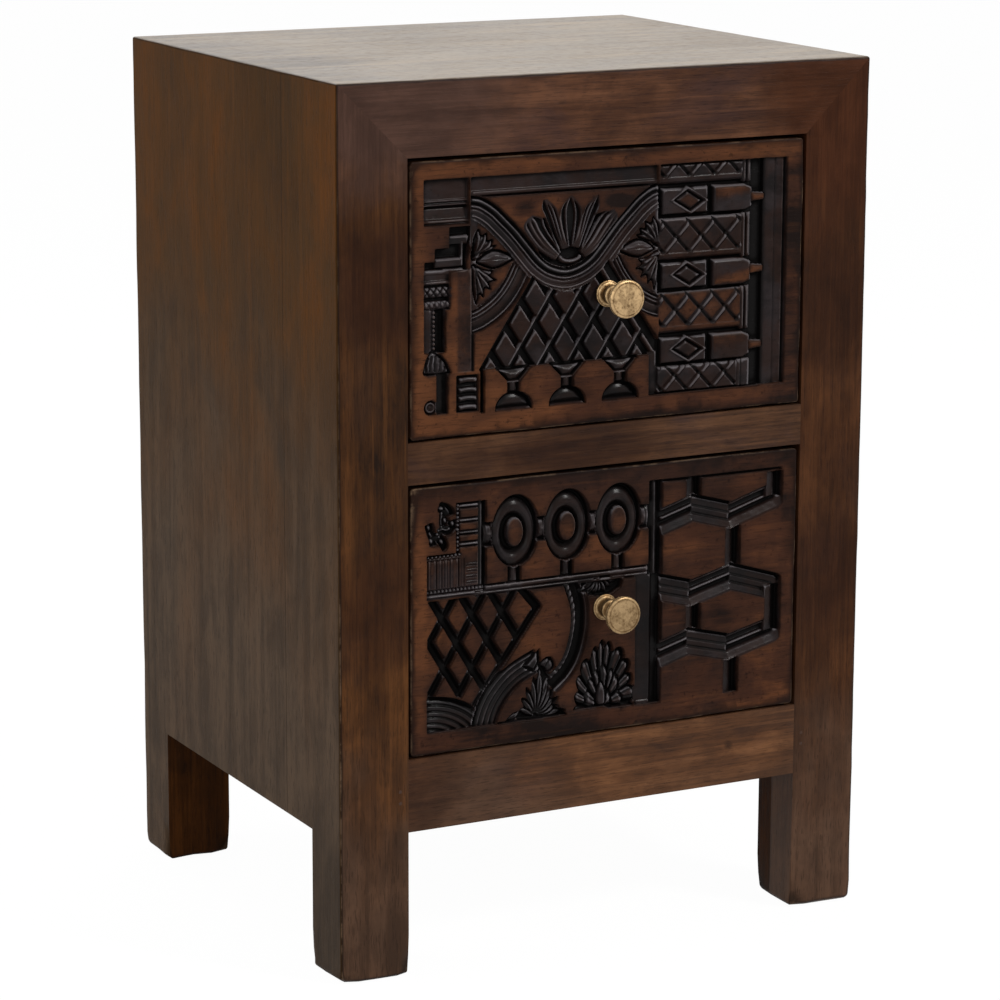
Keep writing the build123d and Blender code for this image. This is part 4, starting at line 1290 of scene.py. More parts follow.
def greyed_foot(wood, colour, tone, low, high):
    """The colour turning into this tone from one height down to a lower one."""
    share = 1 - wood.smoothstep(wood.along(2) + (wood.cloud - 0.5) * 0.35, low, high)
    grain = wood.smoothstep(wood.streak * 0.6 + wood.mottle * 0.4, 0.38, 0.62)
    grey = wood.mix(grain, shade(tone, 0.62), shade(tone, 1.25))
    grey = wood.mix(wood.pores * 0.5, grey, shade(tone, 0.35))
    return wood.mix(share * 0.85, colour, grey)


def knotted(wood, colour, dark, warm, centre, size):
    """The colour with a small ringed knot."""
    gap = wood.vectors("DISTANCE", wood.here, centre, output="Value")
    near = 1 - wood.smoothstep(gap + (wood.mottle - 0.5) * size, size * 0.25, size * 1.2)
    ring = wood.maths("SINE", gap * (24.0 / size) + wood.mottle * 7.0)
    colour = wood.mix(near * 0.8, colour, shade(dark, 0.55))
    return wood.mix(near * wood.smoothstep(ring, 0.2, 0.9) * 0.35, colour, warm)


def smudged(wood, colour, tone, centre, radii, amount):
    """The colour with a smudge that runs on across the joints between boards."""
    grain = wood.smoothstep(wood.mottle * 0.6 + wood.streak * 0.4, 0.38, 0.62)
    smudge = wood.mix(grain, shade(tone, 0.78), shade(tone, 1.22))
    smudge = wood.mix(wood.smoothstep(wood.fibre, 0.4, 0.66) * 0.35, smudge, shade(tone, 0.45))
    return wood.mix(wood.overlay(centre, radii) * amount, colour, smudge)


def seamed(wood, colour, dark, place):
    """The colour with the thin line where two boards are glued edge to edge, at this place along Y."""
    gap = wood.maths("ABSOLUTE", wood.along(1) - place)
    line = 1 - wood.smoothstep(gap, 0.24 * MM, 0.6 * MM)
    return wood.mix(line * 0.75, colour, shade(dark, 0.35))


def carcass_wood(name, grain, seed, tones, settings, lightness, patches=(), knots=(), foot=None, seam=None,
                 smudges=(), gloss=0.06, shares=(0.42, 0.26, 0.32), texture=0.34, polished=False):
    """Waxed, stained wood for the carcass."""
    tones = [shade(tone, lightness) for tone in tones]
    wood = Wood(name, grain, seed)
    colour = wood.coloured(tones, patches, shares=shares, grain=texture)
    if foot:
        colour = greyed_foot(wood, colour, *foot)
    for centre, size in knots:
        colour = knotted(wood, colour, tones[0], tones[2], centre, size)
    for smudge in smudges:
        colour = smudged(wood, colour, *smudge)
    if seam is not None:
        colour = seamed(wood, colour, tones[0], seam)
    colour = shaded_and_rubbed_edge(wood, colour, shade(tones[0], 0.7), settings.rubbed)
    rough = wood.streak * 0.18 + wood.mottle * 0.16 + (settings.roughness - 0.17)
    if polished:
        coat = wood.smoothstep(wood.streak * 0.5 + wood.cloud * 0.5, 0.34, 0.62) * 0.28 + 0.13
        return wood.finish(
            Base_Color=colour, Roughness=rough * 0.9 + wood.pores * 0.2, Normal=wood.relief(1.2), IOR=1.5,
            Specular_IOR_Level=0.42, Coat_Weight=coat, Coat_Roughness=0.34, Coat_IOR=1.5,
        )
    return wood.finish(
        Base_Color=colour, Roughness=rough, Normal=wood.relief(1.0), IOR=1.45, Specular_IOR_Level=gloss
    )


def carved_wood(name, grain, seed, settings, patches=()):
    """Stained wood with black in the carving, painted highlights on its crests, partly rubbing, and painted
    shade in and round its cuts.
    """
    wood = Wood(name, grain, seed)
    dark = settings.carved_dark
    stain, ridge = wood.attribute("stain"), wood.attribute("ridge")
    halo, hollow = wood.attribute("halo"), wood.smoothstep(wood.attribute("hollow"), 0.05, 0.75)
    colour = wood.coloured(tones_of(settings, "carved"), patches, 0.5, shares=(0.6, 0.12, 0.28), grain=0.15)
    # painted shade round the carving, where the cuts shade the ground, mixed with dirt
    dirt_and_shade = wood.smoothstep(wood.noise(wood.here, 110.0, 4.0, 0.65), 0.34, 0.62) * 0.6 + 0.3
    colour = wood.mix(wood.smoothstep(halo, 0.04, 0.5) * dirt_and_shade, colour, shade(dark, 0.9))
    # thin grey stain on what is raised, brown in places, and black in what is cut deep
    grey = settings.carving_grey
    grey = wood.mix(wood.smoothstep(wood.mottle, 0.38, 0.62), shade(grey, 0.6), shade(grey, 1.6))
    brown = wood.smoothstep(wood.noise(wood.here, 34.0, 4.0, 0.6), 0.42, 0.6)
    grey = wood.mix(brown * 0.5, grey, shade(settings.carved_middle, 0.4))
    uneven = stain + (wood.mottle - 0.5) * 0.55 + (wood.cloud - 0.5) * 0.45
    colour = wood.mix(wood.smoothstep(uneven, 0.12, 0.66), colour, grey)
    colour = wood.mix(wood.smoothstep(stain, 0.78, 1.0), colour, settings.black)
    # painted highlights on the crests, partly rubbing, painted shade in the deep hollows, and grime
    rub_and_highlight = wood.smoothstep(ridge + (wood.mottle - 0.5) * 0.5, 0.25, 1.0)
    bare = wood.mix(wood.smoothstep(stain, 0.1, 0.7), settings.carved_rubbed, settings.highlight_polish)
    colour = wood.mix(rub_and_highlight * (wood.smoothstep(stain, 0.15, 0.6) * 0.75), colour, bare)
    colour = wood.mix(hollow * 0.9, colour, shade(settings.black, 0.5))
    grime = wood.smoothstep(wood.noise(wood.here, 240.0, 3.0, 0.7), 0.6, 0.7)
    colour = wood.mix(grime * 0.5, colour, shade(dark, 0.4))
    colour = shaded_and_rubbed_edge(wood, colour, shade(dark, 0.8), shade(settings.rubbed, 0.8), 0.65, 0.45)
    rough = wood.streak * 0.14 + wood.mottle * 0.16 + stain * -0.08 + hollow * 0.2
    rough = rough + (settings.roughness - 0.14)
    return wood.finish(
        Base_Color=colour, Roughness=rough, Normal=wood.relief(0.9), IOR=1.45, Specular_IOR_Level=0.04,
        Coat_Weight=wood.smoothstep(stain, 0.2, 0.7) * (1 - hollow) * 0.09, Coat_Roughness=0.2,
    )


def plain_wood(name, grain, seed, tones, roughness=0.62):
    """Unstained wood inside the cabinet."""
    wood = Wood(name, grain, seed)
    colour = wood.coloured(tones)
    rough = wood.streak * 0.15 + (roughness - 0.08)
    return wood.finish(Base_Color=colour, Roughness=rough, Normal=wood.relief(1.2), Specular_IOR_Level=0.25)


def brass(name, settings, shine=1.0):
    """Brushed old brass, darker in its turned hollows."""
    metal = Paint(name)
    where = metal.place()
    scratch = metal.noise(metal.place(scale=(1.0, 1.0, 0.12), turn=(0.0, 0.6, 0.0)), 900.0, 3.0, 0.6)
    cross = metal.noise(metal.place(scale=(0.12, 1.0, 1.0), turn=(0.0, 0.35, 0.0)), 700.0, 3.0, 0.6)
    blotch = metal.noise(where, 160.0, 4.0, 0.6)
    hollow = metal.attribute("hollow")
    speck = metal.smoothstep(metal.noise(where, 620.0, 3.0, 0.6), 0.5, 0.64)
    rubbed = metal.smoothstep(blotch, 0.35, 0.6) * 0.45 + scratch * 0.35
    worn = metal.maths("ADD", rubbed, 0.25 - hollow * 0.9 - speck * 0.3, clamp=True)
    colour = metal.mix(worn, settings.patina, shade(settings.brass, shine))
    rough = scratch * 0.2 + blotch * 0.2 + hollow * 0.12 + 0.22
    uneven = metal.bump(scratch * 0.6 + cross * 0.6 + blotch * 0.8, 0.00009, 0.9)
    return metal.finish(Base_Color=colour, Metallic=1.0, Roughness=rough, Normal=uneven)


def steel(name, colour, roughness):
    """Zinc-plated steel with fine scratches."""
    metal = Paint(name)
    grit = metal.noise(metal.place(), 900.0, 3.0, 0.6)
    stain = metal.noise(metal.place(), 240.0, 3.0, 0.6)
    tone = metal.mix(metal.smoothstep(stain, 0.4, 0.7) * 0.6, colour, shade(colour, 0.45))
    rough = grit * 0.2 + roughness
    return metal.finish(Base_Color=tone, Metallic=1.0, Roughness=rough, Normal=metal.bump(grit, 0.00003))


# ---- meshes


def set_number(mesh, name, values):
    """Puts one number on each point of a mesh."""
    attribute = mesh.attributes.get(name) or mesh.attributes.new(name, "FLOAT", "POINT")
    attribute.data.foreach_set("value", np.asarray(values, np.float32))


def points_of(mesh):
    points = np.empty(len(mesh.vertices) * 3)
    mesh.vertices.foreach_get("co", points)
    return points.reshape(-1, 3)


def put_points(mesh, points):
    mesh.vertices.foreach_set("co", np.asarray(points, np.float32).ravel())
    mesh.update()


def linked(name, data):
    """An object of this mesh or lamp in the scene."""
    made = bpy.data.objects.new(name, data)
    bpy.context.scene.collection.objects.link(made)
    return made


def evaluated(trial):
    """The mesh that an object's modifiers make. The object goes."""
    graph = bpy.context.evaluated_depsgraph_get()
    mesh = bpy.data.meshes.new_from_object(trial.evaluated_get(graph), depsgraph=graph)
    bpy.data.objects.remove(trial)
    return mesh


def finished(name, mesh, material, node, sharp=35.0):
    """A finished piece that stands for a CAD node and rides on its body."""
    made = linked(name, mesh)
    mesh.materials.clear()
    mesh.materials.append(material)
    mesh.shade_smooth()
    mesh.set_sharp_from_angle(angle=np.radians(sharp))
    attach(made, BODY_OF[node])
    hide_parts(node)


def numpy_mesh(name, points, faces):
    """A mesh from arrays of points and faces with the same number of corners."""
    mesh = bpy.data.meshes.new(name)
    faces = np.asarray(faces, np.int32)
    count, corners = faces.shape
    mesh.vertices.add(len(points))
    mesh.vertices.foreach_set("co", np.asarray(points, np.float32).ravel())
    mesh.loops.add(count * corners)
    mesh.loops.foreach_set("vertex_index", faces.ravel())
    mesh.polygons.add(count)
    mesh.polygons.foreach_set("loop_start", np.arange(0, count * corners, corners, dtype=np.int32))
    mesh.update(calc_edges=True)
    mesh.validate()
    return mesh


WORN_LOOPS = (0.35, 0.8, 1.4, 2.2, 3.4)
FOOT_LOOPS = (5.0, 7.5, 10.5)


def cut_places(low, high, step):
    """Where a board gets its loops, as (axis, place): evenly, and close together at the cabinet's edges."""
    for axis, outer in enumerate(((LEFT_X, RIGHT_X), (FRONT_Y, BACK_Y), (0.0, TOP_Z))):
        for place in np.arange(low[axis] + step, high[axis] - 0.3 * step, step):
            yield axis, place
        for end, inwards in zip(outer, (1, -1)):
            reached = min(abs(end - low[axis]), abs(end - high[axis])) < MM
            for depth in WORN_LOOPS + (FOOT_LOOPS if axis == 2 else ()):
                place = end + inwards * depth * MM
                if reached and low[axis] < place < high[axis]:
                    yield axis, place


def looped_board(node, step):
    """A copy of a CAD board, cut into loops."""
    grid = bmesh.new()
    grid.from_mesh(frame["nodes"][node].data)
    bmesh.ops.remove_doubles(grid, verts=grid.verts, dist=2e-5)
    bmesh.ops.dissolve_limit(grid, angle_limit=np.radians(1.0), verts=grid.verts, edges=grid.edges)
    low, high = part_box(node)
    for axis, place in list(cut_places(low, high, step)):
        normal, point = Vector((0, 0, 0)), Vector((0, 0, 0))
        normal[axis], point[axis] = 1, place
        everything = list(grid.verts) + list(grid.edges) + list(grid.faces)
        bmesh.ops.bisect_plane(grid, geom=everything, dist=1e-6, plane_co=point, plane_no=normal)
    mesh = bpy.data.meshes.new(node)
    grid.to_mesh(mesh)
    grid.free()
    return mesh


def worn_board(node, settings):
    """A board of the cabinet with its outer edges eased unevenly and its faces a little wavy."""
    mesh = looped_board(node, settings.mesh_step)
    points = points_of(mesh)
    sway = lattice_noise(points, 0.045, 11) + 0.6 * lattice_noise(points, 0.012, 12)
    radius = np.clip(settings.rounding + settings.wander * sway, 0.8 * MM, 4.5 * MM)
    box_low, box_high = (LEFT_X, FRONT_Y, 0.0), (RIGHT_X, BACK_Y, TOP_Z)
    sides = [(0, -1), (0, 1), (1, -1), (1, 1), (2, 1), (2, -1)]
    moved, worn = eased(points, box_low, box_high, radius, sides)
    for axis, end in sides[:5]:
        place = (box_low if end < 0 else box_high)[axis]
        on_face = np.abs(points[:, axis] - place) < 4 * MM
        swell = settings.waviness * 0.5 * (1 + lattice_noise(points, 0.09, 21 + axis))
        moved[on_face, axis] -= end * swell[on_face]
    for foot_low, foot_high in feet():
        inside = (points > np.array(foot_low) - 1e-4) & (points < np.array(foot_high) + 1e-4)
        near = (points[:, 2] < settings.foot_height) & np.all(inside, axis=1)
        if near.any():
            fade = 1 - points[near, 2] / settings.foot_height
            size = settings.foot_rounding + settings.foot_wander * lattice_noise(points[near], 0.02, 14)
            sides = [(0, -1), (0, 1), (1, -1), (1, 1), (2, -1)]
            drawn, rubbed = eased(moved[near], foot_low, foot_high, np.maximum(size * fade, 1e-6), sides)
            moved[near] = drawn
            worn[near] = np.maximum(worn[near], rubbed * fade)
    put_points(mesh, moved)
    set_number(mesh, "wear", worn)
    return mesh


def feet():
    """The box of each leg, low and high."""
    block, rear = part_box("right_front_leg_block"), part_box("right_rear_post")
    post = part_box("right_front_post")
    spans = ((post[0].x, RIGHT_X, FRONT_Y, block[1].y), (rear[0].x, RIGHT_X, rear[0].y, BACK_Y))
    for near, far, front, back in spans:
        yield (near, front, 0.0), (far, back, 1.0)
        yield (-far, front, 0.0), (-near, back, 1.0)


# ---- carved fronts


FRONT_SIDES = [(0, -1), (0, 1), (2, -1), (2, 1)]
BEST_LIGHT = (0.8, 0.48)  # how far the painted highlight follows slopes that face up, and to the right, towards the key lamp


def worked_level(board, spots, depth, pitch):
    """The carving as it was cut by hand: a little soft, uneven and wavy."""
    shape = board.level.shape
    sway = lattice_noise(spots, 0.03, 31).reshape(shape)
    coarse, fine = (
        lattice_noise(spots, size, seed).reshape(shape)
        for size, seed in ((0.006, 32), (0.0025, 33))
    )
    hand = coarse * 0.5 + fine * 0.3
    cutting = np.clip(-board.level / 1.5, 0, 1)
    level = soften(board.level, 0.28 / pitch) * depth - 0.1 * (1 + sway) - 0.16 * (1 + hand) * cutting
    return level, sway


def crests_and_hollows(level, pitch):
    """Where the painted highlights go, on the crests and most on slopes that face up and to the right, and
    the painted shade in deep hollows.
    """
    ridge = np.clip((level - soften(level, 0.9 / pitch)) / 0.55, 0, 1)
    climb, run = np.gradient(soften(level, 0.8 / pitch), pitch)
    # painted highlight: the crests are brightened most where they face up and to the right, towards the key
    # lamp
    ridge *= np.clip(0.78 - BEST_LIGHT[0] * climb - BEST_LIGHT[1] * run, 0.08, 1)
    # painted shade: hollows darkened by how far they lie below their surroundings
    return ridge, np.clip((soften(level, 2.4 / pitch) - level) / 2.2, 0, 1)


def thinned(mesh, most):
    """The mesh with fewer triangles, where it is plain."""
    trial = linked(mesh.name, mesh)
    thin = trial.modifiers.new("thin", "DECIMATE")
    thin.ratio = min(1.0, most / (2.0 * len(mesh.polygons)))
    result = evaluated(trial)
    bpy.data.meshes.remove(mesh)
    return result


def close_behind(mesh, depths):
    """Square sides back to each of these depths, and a flat back."""
    grid = bmesh.new()
    grid.from_mesh(mesh)
    wear = grid.verts.layers.float["wear"]
    rim = [edge for edge in grid.edges if edge.is_boundary]
    for depth in depths:
        walls = bmesh.ops.extrude_edge_only(grid, edges=rim)["geom"]
        for part in walls:
            if isinstance(part, bmesh.types.BMVert):
                part.co.y = depth
                part[wear] = 0.0
        rim = [part for part in walls if isinstance(part, bmesh.types.BMEdge) and part.is_boundary]
    bmesh.ops.edgeloop_fill(grid, edges=rim)
    bmesh.ops.recalc_face_normals(grid, faces=grid.faces)
    grid.to_mesh(mesh)
    grid.free()


def front_mesh(board, node, settings, pitch):
    """The closed board of a drawer front, with its carved face worn round the edges."""
    low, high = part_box(node)
    x, z = np.meshgrid(board.xs * MM + LEFT_X, board.zs * MM)
    level, sway = worked_level(
        board, np.stack([x.ravel(), np.zeros(x.size), z.ravel()], 1), settings.depth, pitch,
    )
    # painted highlights on the crests and painted shade in the hollows, carried as attributes
    ridge, hollow = crests_and_hollows(level, pitch)
    # the flat face with its four corners rounded, then its edges eased, and the carving cut into it
    radius = (settings.edge_rounding + 0.0009 * sway).ravel()
    face = np.stack([x.ravel(), np.full(x.size, low.y), z.ravel()], 1)
    face, _ = eased(face, low, high, np.full(x.size, settings.corner), FRONT_SIDES)
    points, _ = eased(face, low, high, radius, FRONT_SIDES[:2] + [(1, -1)] + FRONT_SIDES[2:])
    points[:, 1] = np.maximum(low.y - level.ravel() * MM, points[:, 1])
    edge = np.minimum(np.minimum(x - low.x, high.x - x), np.minimum(z - low.z, high.z - z)).ravel()
    knocked = np.hypot(x - low.x, z - high.z).ravel() / (6 * MM)
    wear = np.maximum(np.clip(1 - edge / (3.6 * MM), 0, 1), 1.3 * np.exp(-(knocked**2)))
    index = np.arange(x.size).reshape(x.shape)
    corners = (index[:-1, :-1], index[:-1, 1:], index[1:, 1:], index[1:, :-1])
    mesh = numpy_mesh(node, points, np.stack(corners, -1).reshape(-1, 4))
    # the halo, the stain spread wide, carries painted shade and dirt round the carving
    stain, halo = soften(board.stain, 0.3 / pitch), soften(board.stain, 1.7 / pitch)
    for label, values in {
        "stain": stain, "ridge": ridge, "hollow": hollow, "halo": halo, "wear": wear,
    }.items():
        set_number(mesh, label, values.ravel())
    mesh = thinned(mesh, settings.triangles)
    close_behind(mesh, (low.y + settings.edge_depth, high.y))
    mesh.name = node
    return mesh


# ---- knobs


def turned(node, section, metal, sides):
    """A turned piece in the place of a CAD node. Its section is (radius, y, hollow), from front to back."""
    low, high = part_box(node)
    centre = (low + high) / 2
    angles = np.arange(sides) * 2 * np.pi / sides
    points, marks, rings = [], [], []
    for radius, y, hollow in section:
        spots = [(0, 0)] if radius < 1e-7 else zip(radius * np.cos(angles), radius * np.sin(angles))
        ring = [(centre.x + x, y, centre.z + z) for x, z in spots]
        rings.append(range(len(points), len(points) + len(ring)))
        points += ring
        marks += [hollow] * len(ring)
    faces = []
    for a, b in zip(rings[:-1], rings[1:]):
        for k in range(sides):
            j = (k + 1) % sides
            if len(a) == 1:
                faces.append((a[0], b[k], b[j]))
            elif len(b) == 1:
                faces.append((a[k], b[0], a[j]))
            else:
                faces.append((a[k], b[k], b[j], a[j]))
    mesh = bpy.data.meshes.new(node)
    mesh.from_pydata(points, [], faces)
    set_number(mesh, "hollow", marks)
    grid = bmesh.new()
    grid.from_mesh(mesh)
    bmesh.ops.remove_doubles(grid, verts=grid.verts, dist=1e-6)
    bmesh.ops.recalc_face_normals(grid, faces=grid.faces)
    grid.to_mesh(mesh)
    grid.free()
    finished(node + "_turned", mesh, metal, node, sharp=50)


# ---- fixings

FIXING_SIZES = ("Shank radius", "Head radius", "Head foot radius", "Head thickness", "Length", "Turn")


def fixing_tree(material):
    """Puts one headed pin on each point of a mesh. Also gives the inputs' identifiers."""
    group = bpy.data.node_groups.new("Fixings", "GeometryNodeTree")
    tree = Tree(group)
    group.interface.new_socket("Geometry", in_out="OUTPUT", socket_type="NodeSocketGeometry")
    kinds = {"Geometry": "Geometry", **dict.fromkeys(FIXING_SIZES, "Float"), "Sides": "Int"}
    identifiers = {
        name: group.interface.new_socket(name, in_out="INPUT", socket_type="NodeSocket" + kind).identifier
        for name, kind in kinds.items()
    }
    entry = tree.node("NodeGroupInput")
    shank, head, foot, thick, length, turn = (entry.out(name) for name in FIXING_SIZES)
    sides = entry.out("Sides")
    rod = tree.node("GeometryNodeMeshCylinder", None, {
        "Vertices": sides, "Radius": shank, "Depth": length - thick,
    }, "Mesh")
    lift = tree.node("ShaderNodeCombineXYZ", None, {2: (length + thick) * 0.5})
    rod = tree.node("GeometryNodeTransform", None, {"Geometry": rod, "Translation": lift})
    cap = tree.node(
        "GeometryNodeMeshCone", None,
        {"Vertices": sides, "Radius Top": foot, "Radius Bottom": head, "Depth": thick}, "Mesh",
    )
    joined = tree.node("GeometryNodeJoinGeometry", None, {"Geometry": cap})
    group.links.new(rod.socket, joined.socket.node.inputs[0])
    angle = tree.node("ShaderNodeCombineXYZ", None, {0: turn})
    pin = tree.node("GeometryNodeTransform", None, {"Geometry": joined, "Rotation": angle})
    spread = tree.node("GeometryNodeInstanceOnPoints", None, {"Points": entry, "Instance": pin})
    real = tree.node("GeometryNodeRealizeInstances", None, {"Geometry": spread})
    painted = tree.node("GeometryNodeSetMaterial", None, {"Geometry": real, "Material": material})
    tree.node("NodeGroupOutput", None, {0: painted})
    return group, identifiers


def fixings(node, places, sizes, material):
    """Pins, nails or screws at these places, as one mesh."""
    group, identifiers = fixing_tree(material)
    seed = bpy.data.meshes.new(node + "_places")
    seed.from_pydata(places, [], [])
    maker = linked(node + "_maker", seed)
    modifier = maker.modifiers.new("fixings", "NODES")
    modifier.node_group = group
    for name, value in sizes.items():
        modifier[identifiers[name]] = value
    mesh = evaluated(maker)
    bpy.data.node_groups.remove(group)
    if not mesh.polygons:
        raise RuntimeError("no fixings were made for " + node)
    finished(node + "_made", mesh, material, node)


# ---- operators


def on_front(x, z, wide, high):
    """The centre and radii of a soft patch on the cabinet's front."""
    return (x, FRONT_Y, z), (wide, 0.05, high)


def carcass_woods(wood):
    """The finish of each board that shows, by its CAD node."""
    umber = shade(wood.frame_dark, (1.6, 1.05, 0.75))
    near_corner = (wood.frame_mauve, *on_front(-0.17, 0.578, 0.12, 0.058), 0.97)
    far_corner = (wood.frame_red, *on_front(0.178, 0.56, 0.07, 0.085), 0.92)
    low_corners = [(
        shade(wood.side_foot, 0.66), (x, FRONT_Y + 0.014, 0.03), (0.03, 0.04, 0.085), 0.85,
    ) for x in (LEFT_X, RIGHT_X)]
    right_foot = (shade(wood.frame_foot, 1.1), 0.02, 0.17)
    side = {
        "foot": (wood.side_foot, 0.16, 0.5), "smudges": low_corners, "gloss": 0.014,
        "shares": (0.62, 0.1, 0.28), "texture": 0.24,
    }
    # darker at the left end of the top and along its back edge
    darker_top_ends = [(
        (-0.175, -0.02, TOP_Z), (0.05, 0.2, 0.1), -0.1,
    ), ((0.0, 0.165, TOP_Z), (0.2, 0.03, 0.1), -0.07)]
    # node: label, grain, seed, tones, lightness, then what else there is to its finish
    boards = {
        # the top's high lightness is partly a painted sheen
        "top_panel": ("top board", "x", 3, "top", (1.24, 1.2, 1.06), {
            "patches": darker_top_ends, "polished": True, "shares": (0.24, 0.5, 0.26), "texture": 0.42,
        }),
        "top_rail": ("top rail", "x", 7, "frame", (1.02, 1.08, 1.5), {"smudges": [near_corner, far_corner]}),
        "middle_rail": ("middle rail", "x", 12, "frame", (1.04, 1.2, 1.6), {"smudges": [
            (umber, *on_front(-0.13, 0.35, 0.05, 0.05), 0.45),
            (umber, *on_front(-0.03, 0.346, 0.075, 0.022), 0.55),
        ]}),
        "bottom_rail": ("bottom rail", "x", 17, "frame", (1.56, 1.68, 2.0), {
            "knots": [((0.097, FRONT_Y, 0.128), 0.004)], "foot": right_foot,
            "smudges": [(umber, *on_front(-0.15, 0.13, 0.045, 0.05), 0.5)],
        }),
        "left_front_post": ("left stile", "z", 21, "frame", (1.0, 0.95, 0.8), {
            "foot": (wood.frame_foot, 0.02, 0.2), "smudges": [
                (umber, *on_front(-0.165, 0.47, 0.05, 0.055), 0.75),
                (umber, *on_front(-0.165, 0.255, 0.05, 0.05), 0.55),
                near_corner,
            ],
        }),
        "right_front_post": ("right stile", "z", 26, "frame", (0.78, 0.73, 0.74), {
            "foot": right_foot, "smudges": [
                (umber, *on_front(0.18, 0.435, 0.045, 0.065), 0.6),
                (umber, *on_front(0.175, 0.245, 0.045, 0.06), 0.6),
                (umber, *on_front(0.175, 0.335, 0.045, 0.045), 0.35),
                far_corner,
            ],
        }),
        "left_side_panel": ("left side", "z", 33, "side", (0.98, 0.9, 0.72), {**side, "seam": -0.072}),
        "right_side_panel": ("right side", "z", 38, "side", (0.98, 0.9, 0.72), {**side, "seam": 0.031}),
        "left_front_leg_block": ("left leg block", "z", 44, "frame", (0.48, 0.4, 0.28), {"gloss": 0.02}),
        "right_front_leg_block": ("right leg block", "z", 47, "frame", (0.48, 0.4, 0.28), {"gloss": 0.02}),
        "left_rear_post": ("left rear leg", "z", 52, "frame", (0.7, 0.58, 0.36), {
            # the darker patch at the top of the leg's front face is painted shade under the carcass
            "patches": [((-0.176, 0.137, 0.105), (0.06, 0.05, 0.045), -0.06)], "gloss": 0.03,
        }),
        "right_rear_post": ("right rear leg", "z", 57, "frame", (0.56, 0.46, 0.34), {"gloss": 0.03}),
    }
    return {
        node: carcass_wood(label, grain, seed, tones_of(wood, part), wood, lightness, **more)
        for node, (label, grain, seed, part, lightness, more) in boards.items()
    }


def second_finish(mesh, material, chosen):
    """Another finish on the faces that chosen(normal, centre) picks."""
    mesh.materials.append(material)
    for face in mesh.polygons:
        if chosen(face.normal, face.center):
            face.material_index = 1


def on_outer_side(normal, centre):
    return abs(normal.x) > 0.72 and abs(centre.x) > RIGHT_X - 3 * MM


def against_rear_leg(normal, centre):
    return abs(normal.y) > 0.7 and centre.z < 0.097 and centre.y > 0


class CABINET_OT_carcass(bpy.types.Operator):
    """Makes the boards that show: top, rails, posts, sides and legs, with worn edges"""

    bl_idname = "cabinet.carcass"
    bl_label = "Carcass boards"

    def execute(self, context):
        woods = carcass_woods(context.scene.cabinet_wood)
        for node, material in woods.items():
            mesh = worn_board(node, context.scene.cabinet_edges)
            finished(node + "_board", mesh, material, node)
            hand = node.split("_")[0]
            if node.endswith("post"):
                # the outer face of a post is finished with the side that it continues
                second_finish(mesh, woods[hand + "_side_panel"], on_outer_side)
            if node.endswith("side_panel"):
                second_finish(mesh, woods[hand + "_rear_post"], against_rear_leg)
        return {"FINISHED"}


def uneven_places(level, middle):
    """Paler and darker places on a drawer front, as (x, z, half width, half height, amount)."""
    if level == "upper":
        return [
            (-0.145, middle, 0.012, 0.11, 0.08), (-0.1, middle - 0.08, 0.08, 0.018, 0.19),
            (0.142, middle, 0.018, 0.12, -0.14), (-0.03, middle + 0.084, 0.12, 0.012, 0.05),
            (-0.115, middle - 0.02, 0.03, 0.05, 0.02), (0.02, middle - 0.09, 0.05, 0.004, -0.12),
            (-0.064, 0.511, 0.012, 0.006, -0.13), (0.005, 0.5125, 0.013, 0.005, -0.14),
        ]
    return [
        (-0.055, 0.225, 0.032, 0.036, 0.09), (-0.142, middle, 0.008, 0.1, 0.07),
        (0.0, middle + 0.085, 0.13, 0.01, -0.05), (0.0, 0.165, 0.16, 0.02, -0.03),
        (0.118, 0.29, 0.022, 0.02, 0.1), (0.092, 0.23, 0.04, 0.04, -0.04),
        (0.08, 0.175, 0.06, 0.02, -0.06), (0.144, middle, 0.012, 0.12, -0.07),
        (-0.02, 0.158, 0.1, 0.012, -0.05),
    ]


class CABINET_OT_drawer_fronts(bpy.types.Operator):
    """Carves the two drawer fronts"""

    bl_idname = "cabinet.drawer_fronts"
    bl_label = "Carved drawer fronts"

    def execute(self, context):
        carving = context.scene.cabinet_carving
        pitch = carving.pitch / MM
        for level, carve, seed in (("upper", carve_upper, 61), ("lower", carve_lower, 68)):
            node = level + "_carved_front"
            mesh = front_mesh(carve(pitch), node, carving, pitch)
            low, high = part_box(node)
            places = uneven_places(level, (low.z + high.z) / 2)
            patches = [(*on_front(*place), amount) for *place, amount in places]
            material = carved_wood(level + " drawer front", "x", seed, context.scene.cabinet_wood, patches)
            finished(node + "_board", mesh, material, node, sharp=60.0)
        return {"FINISHED"}


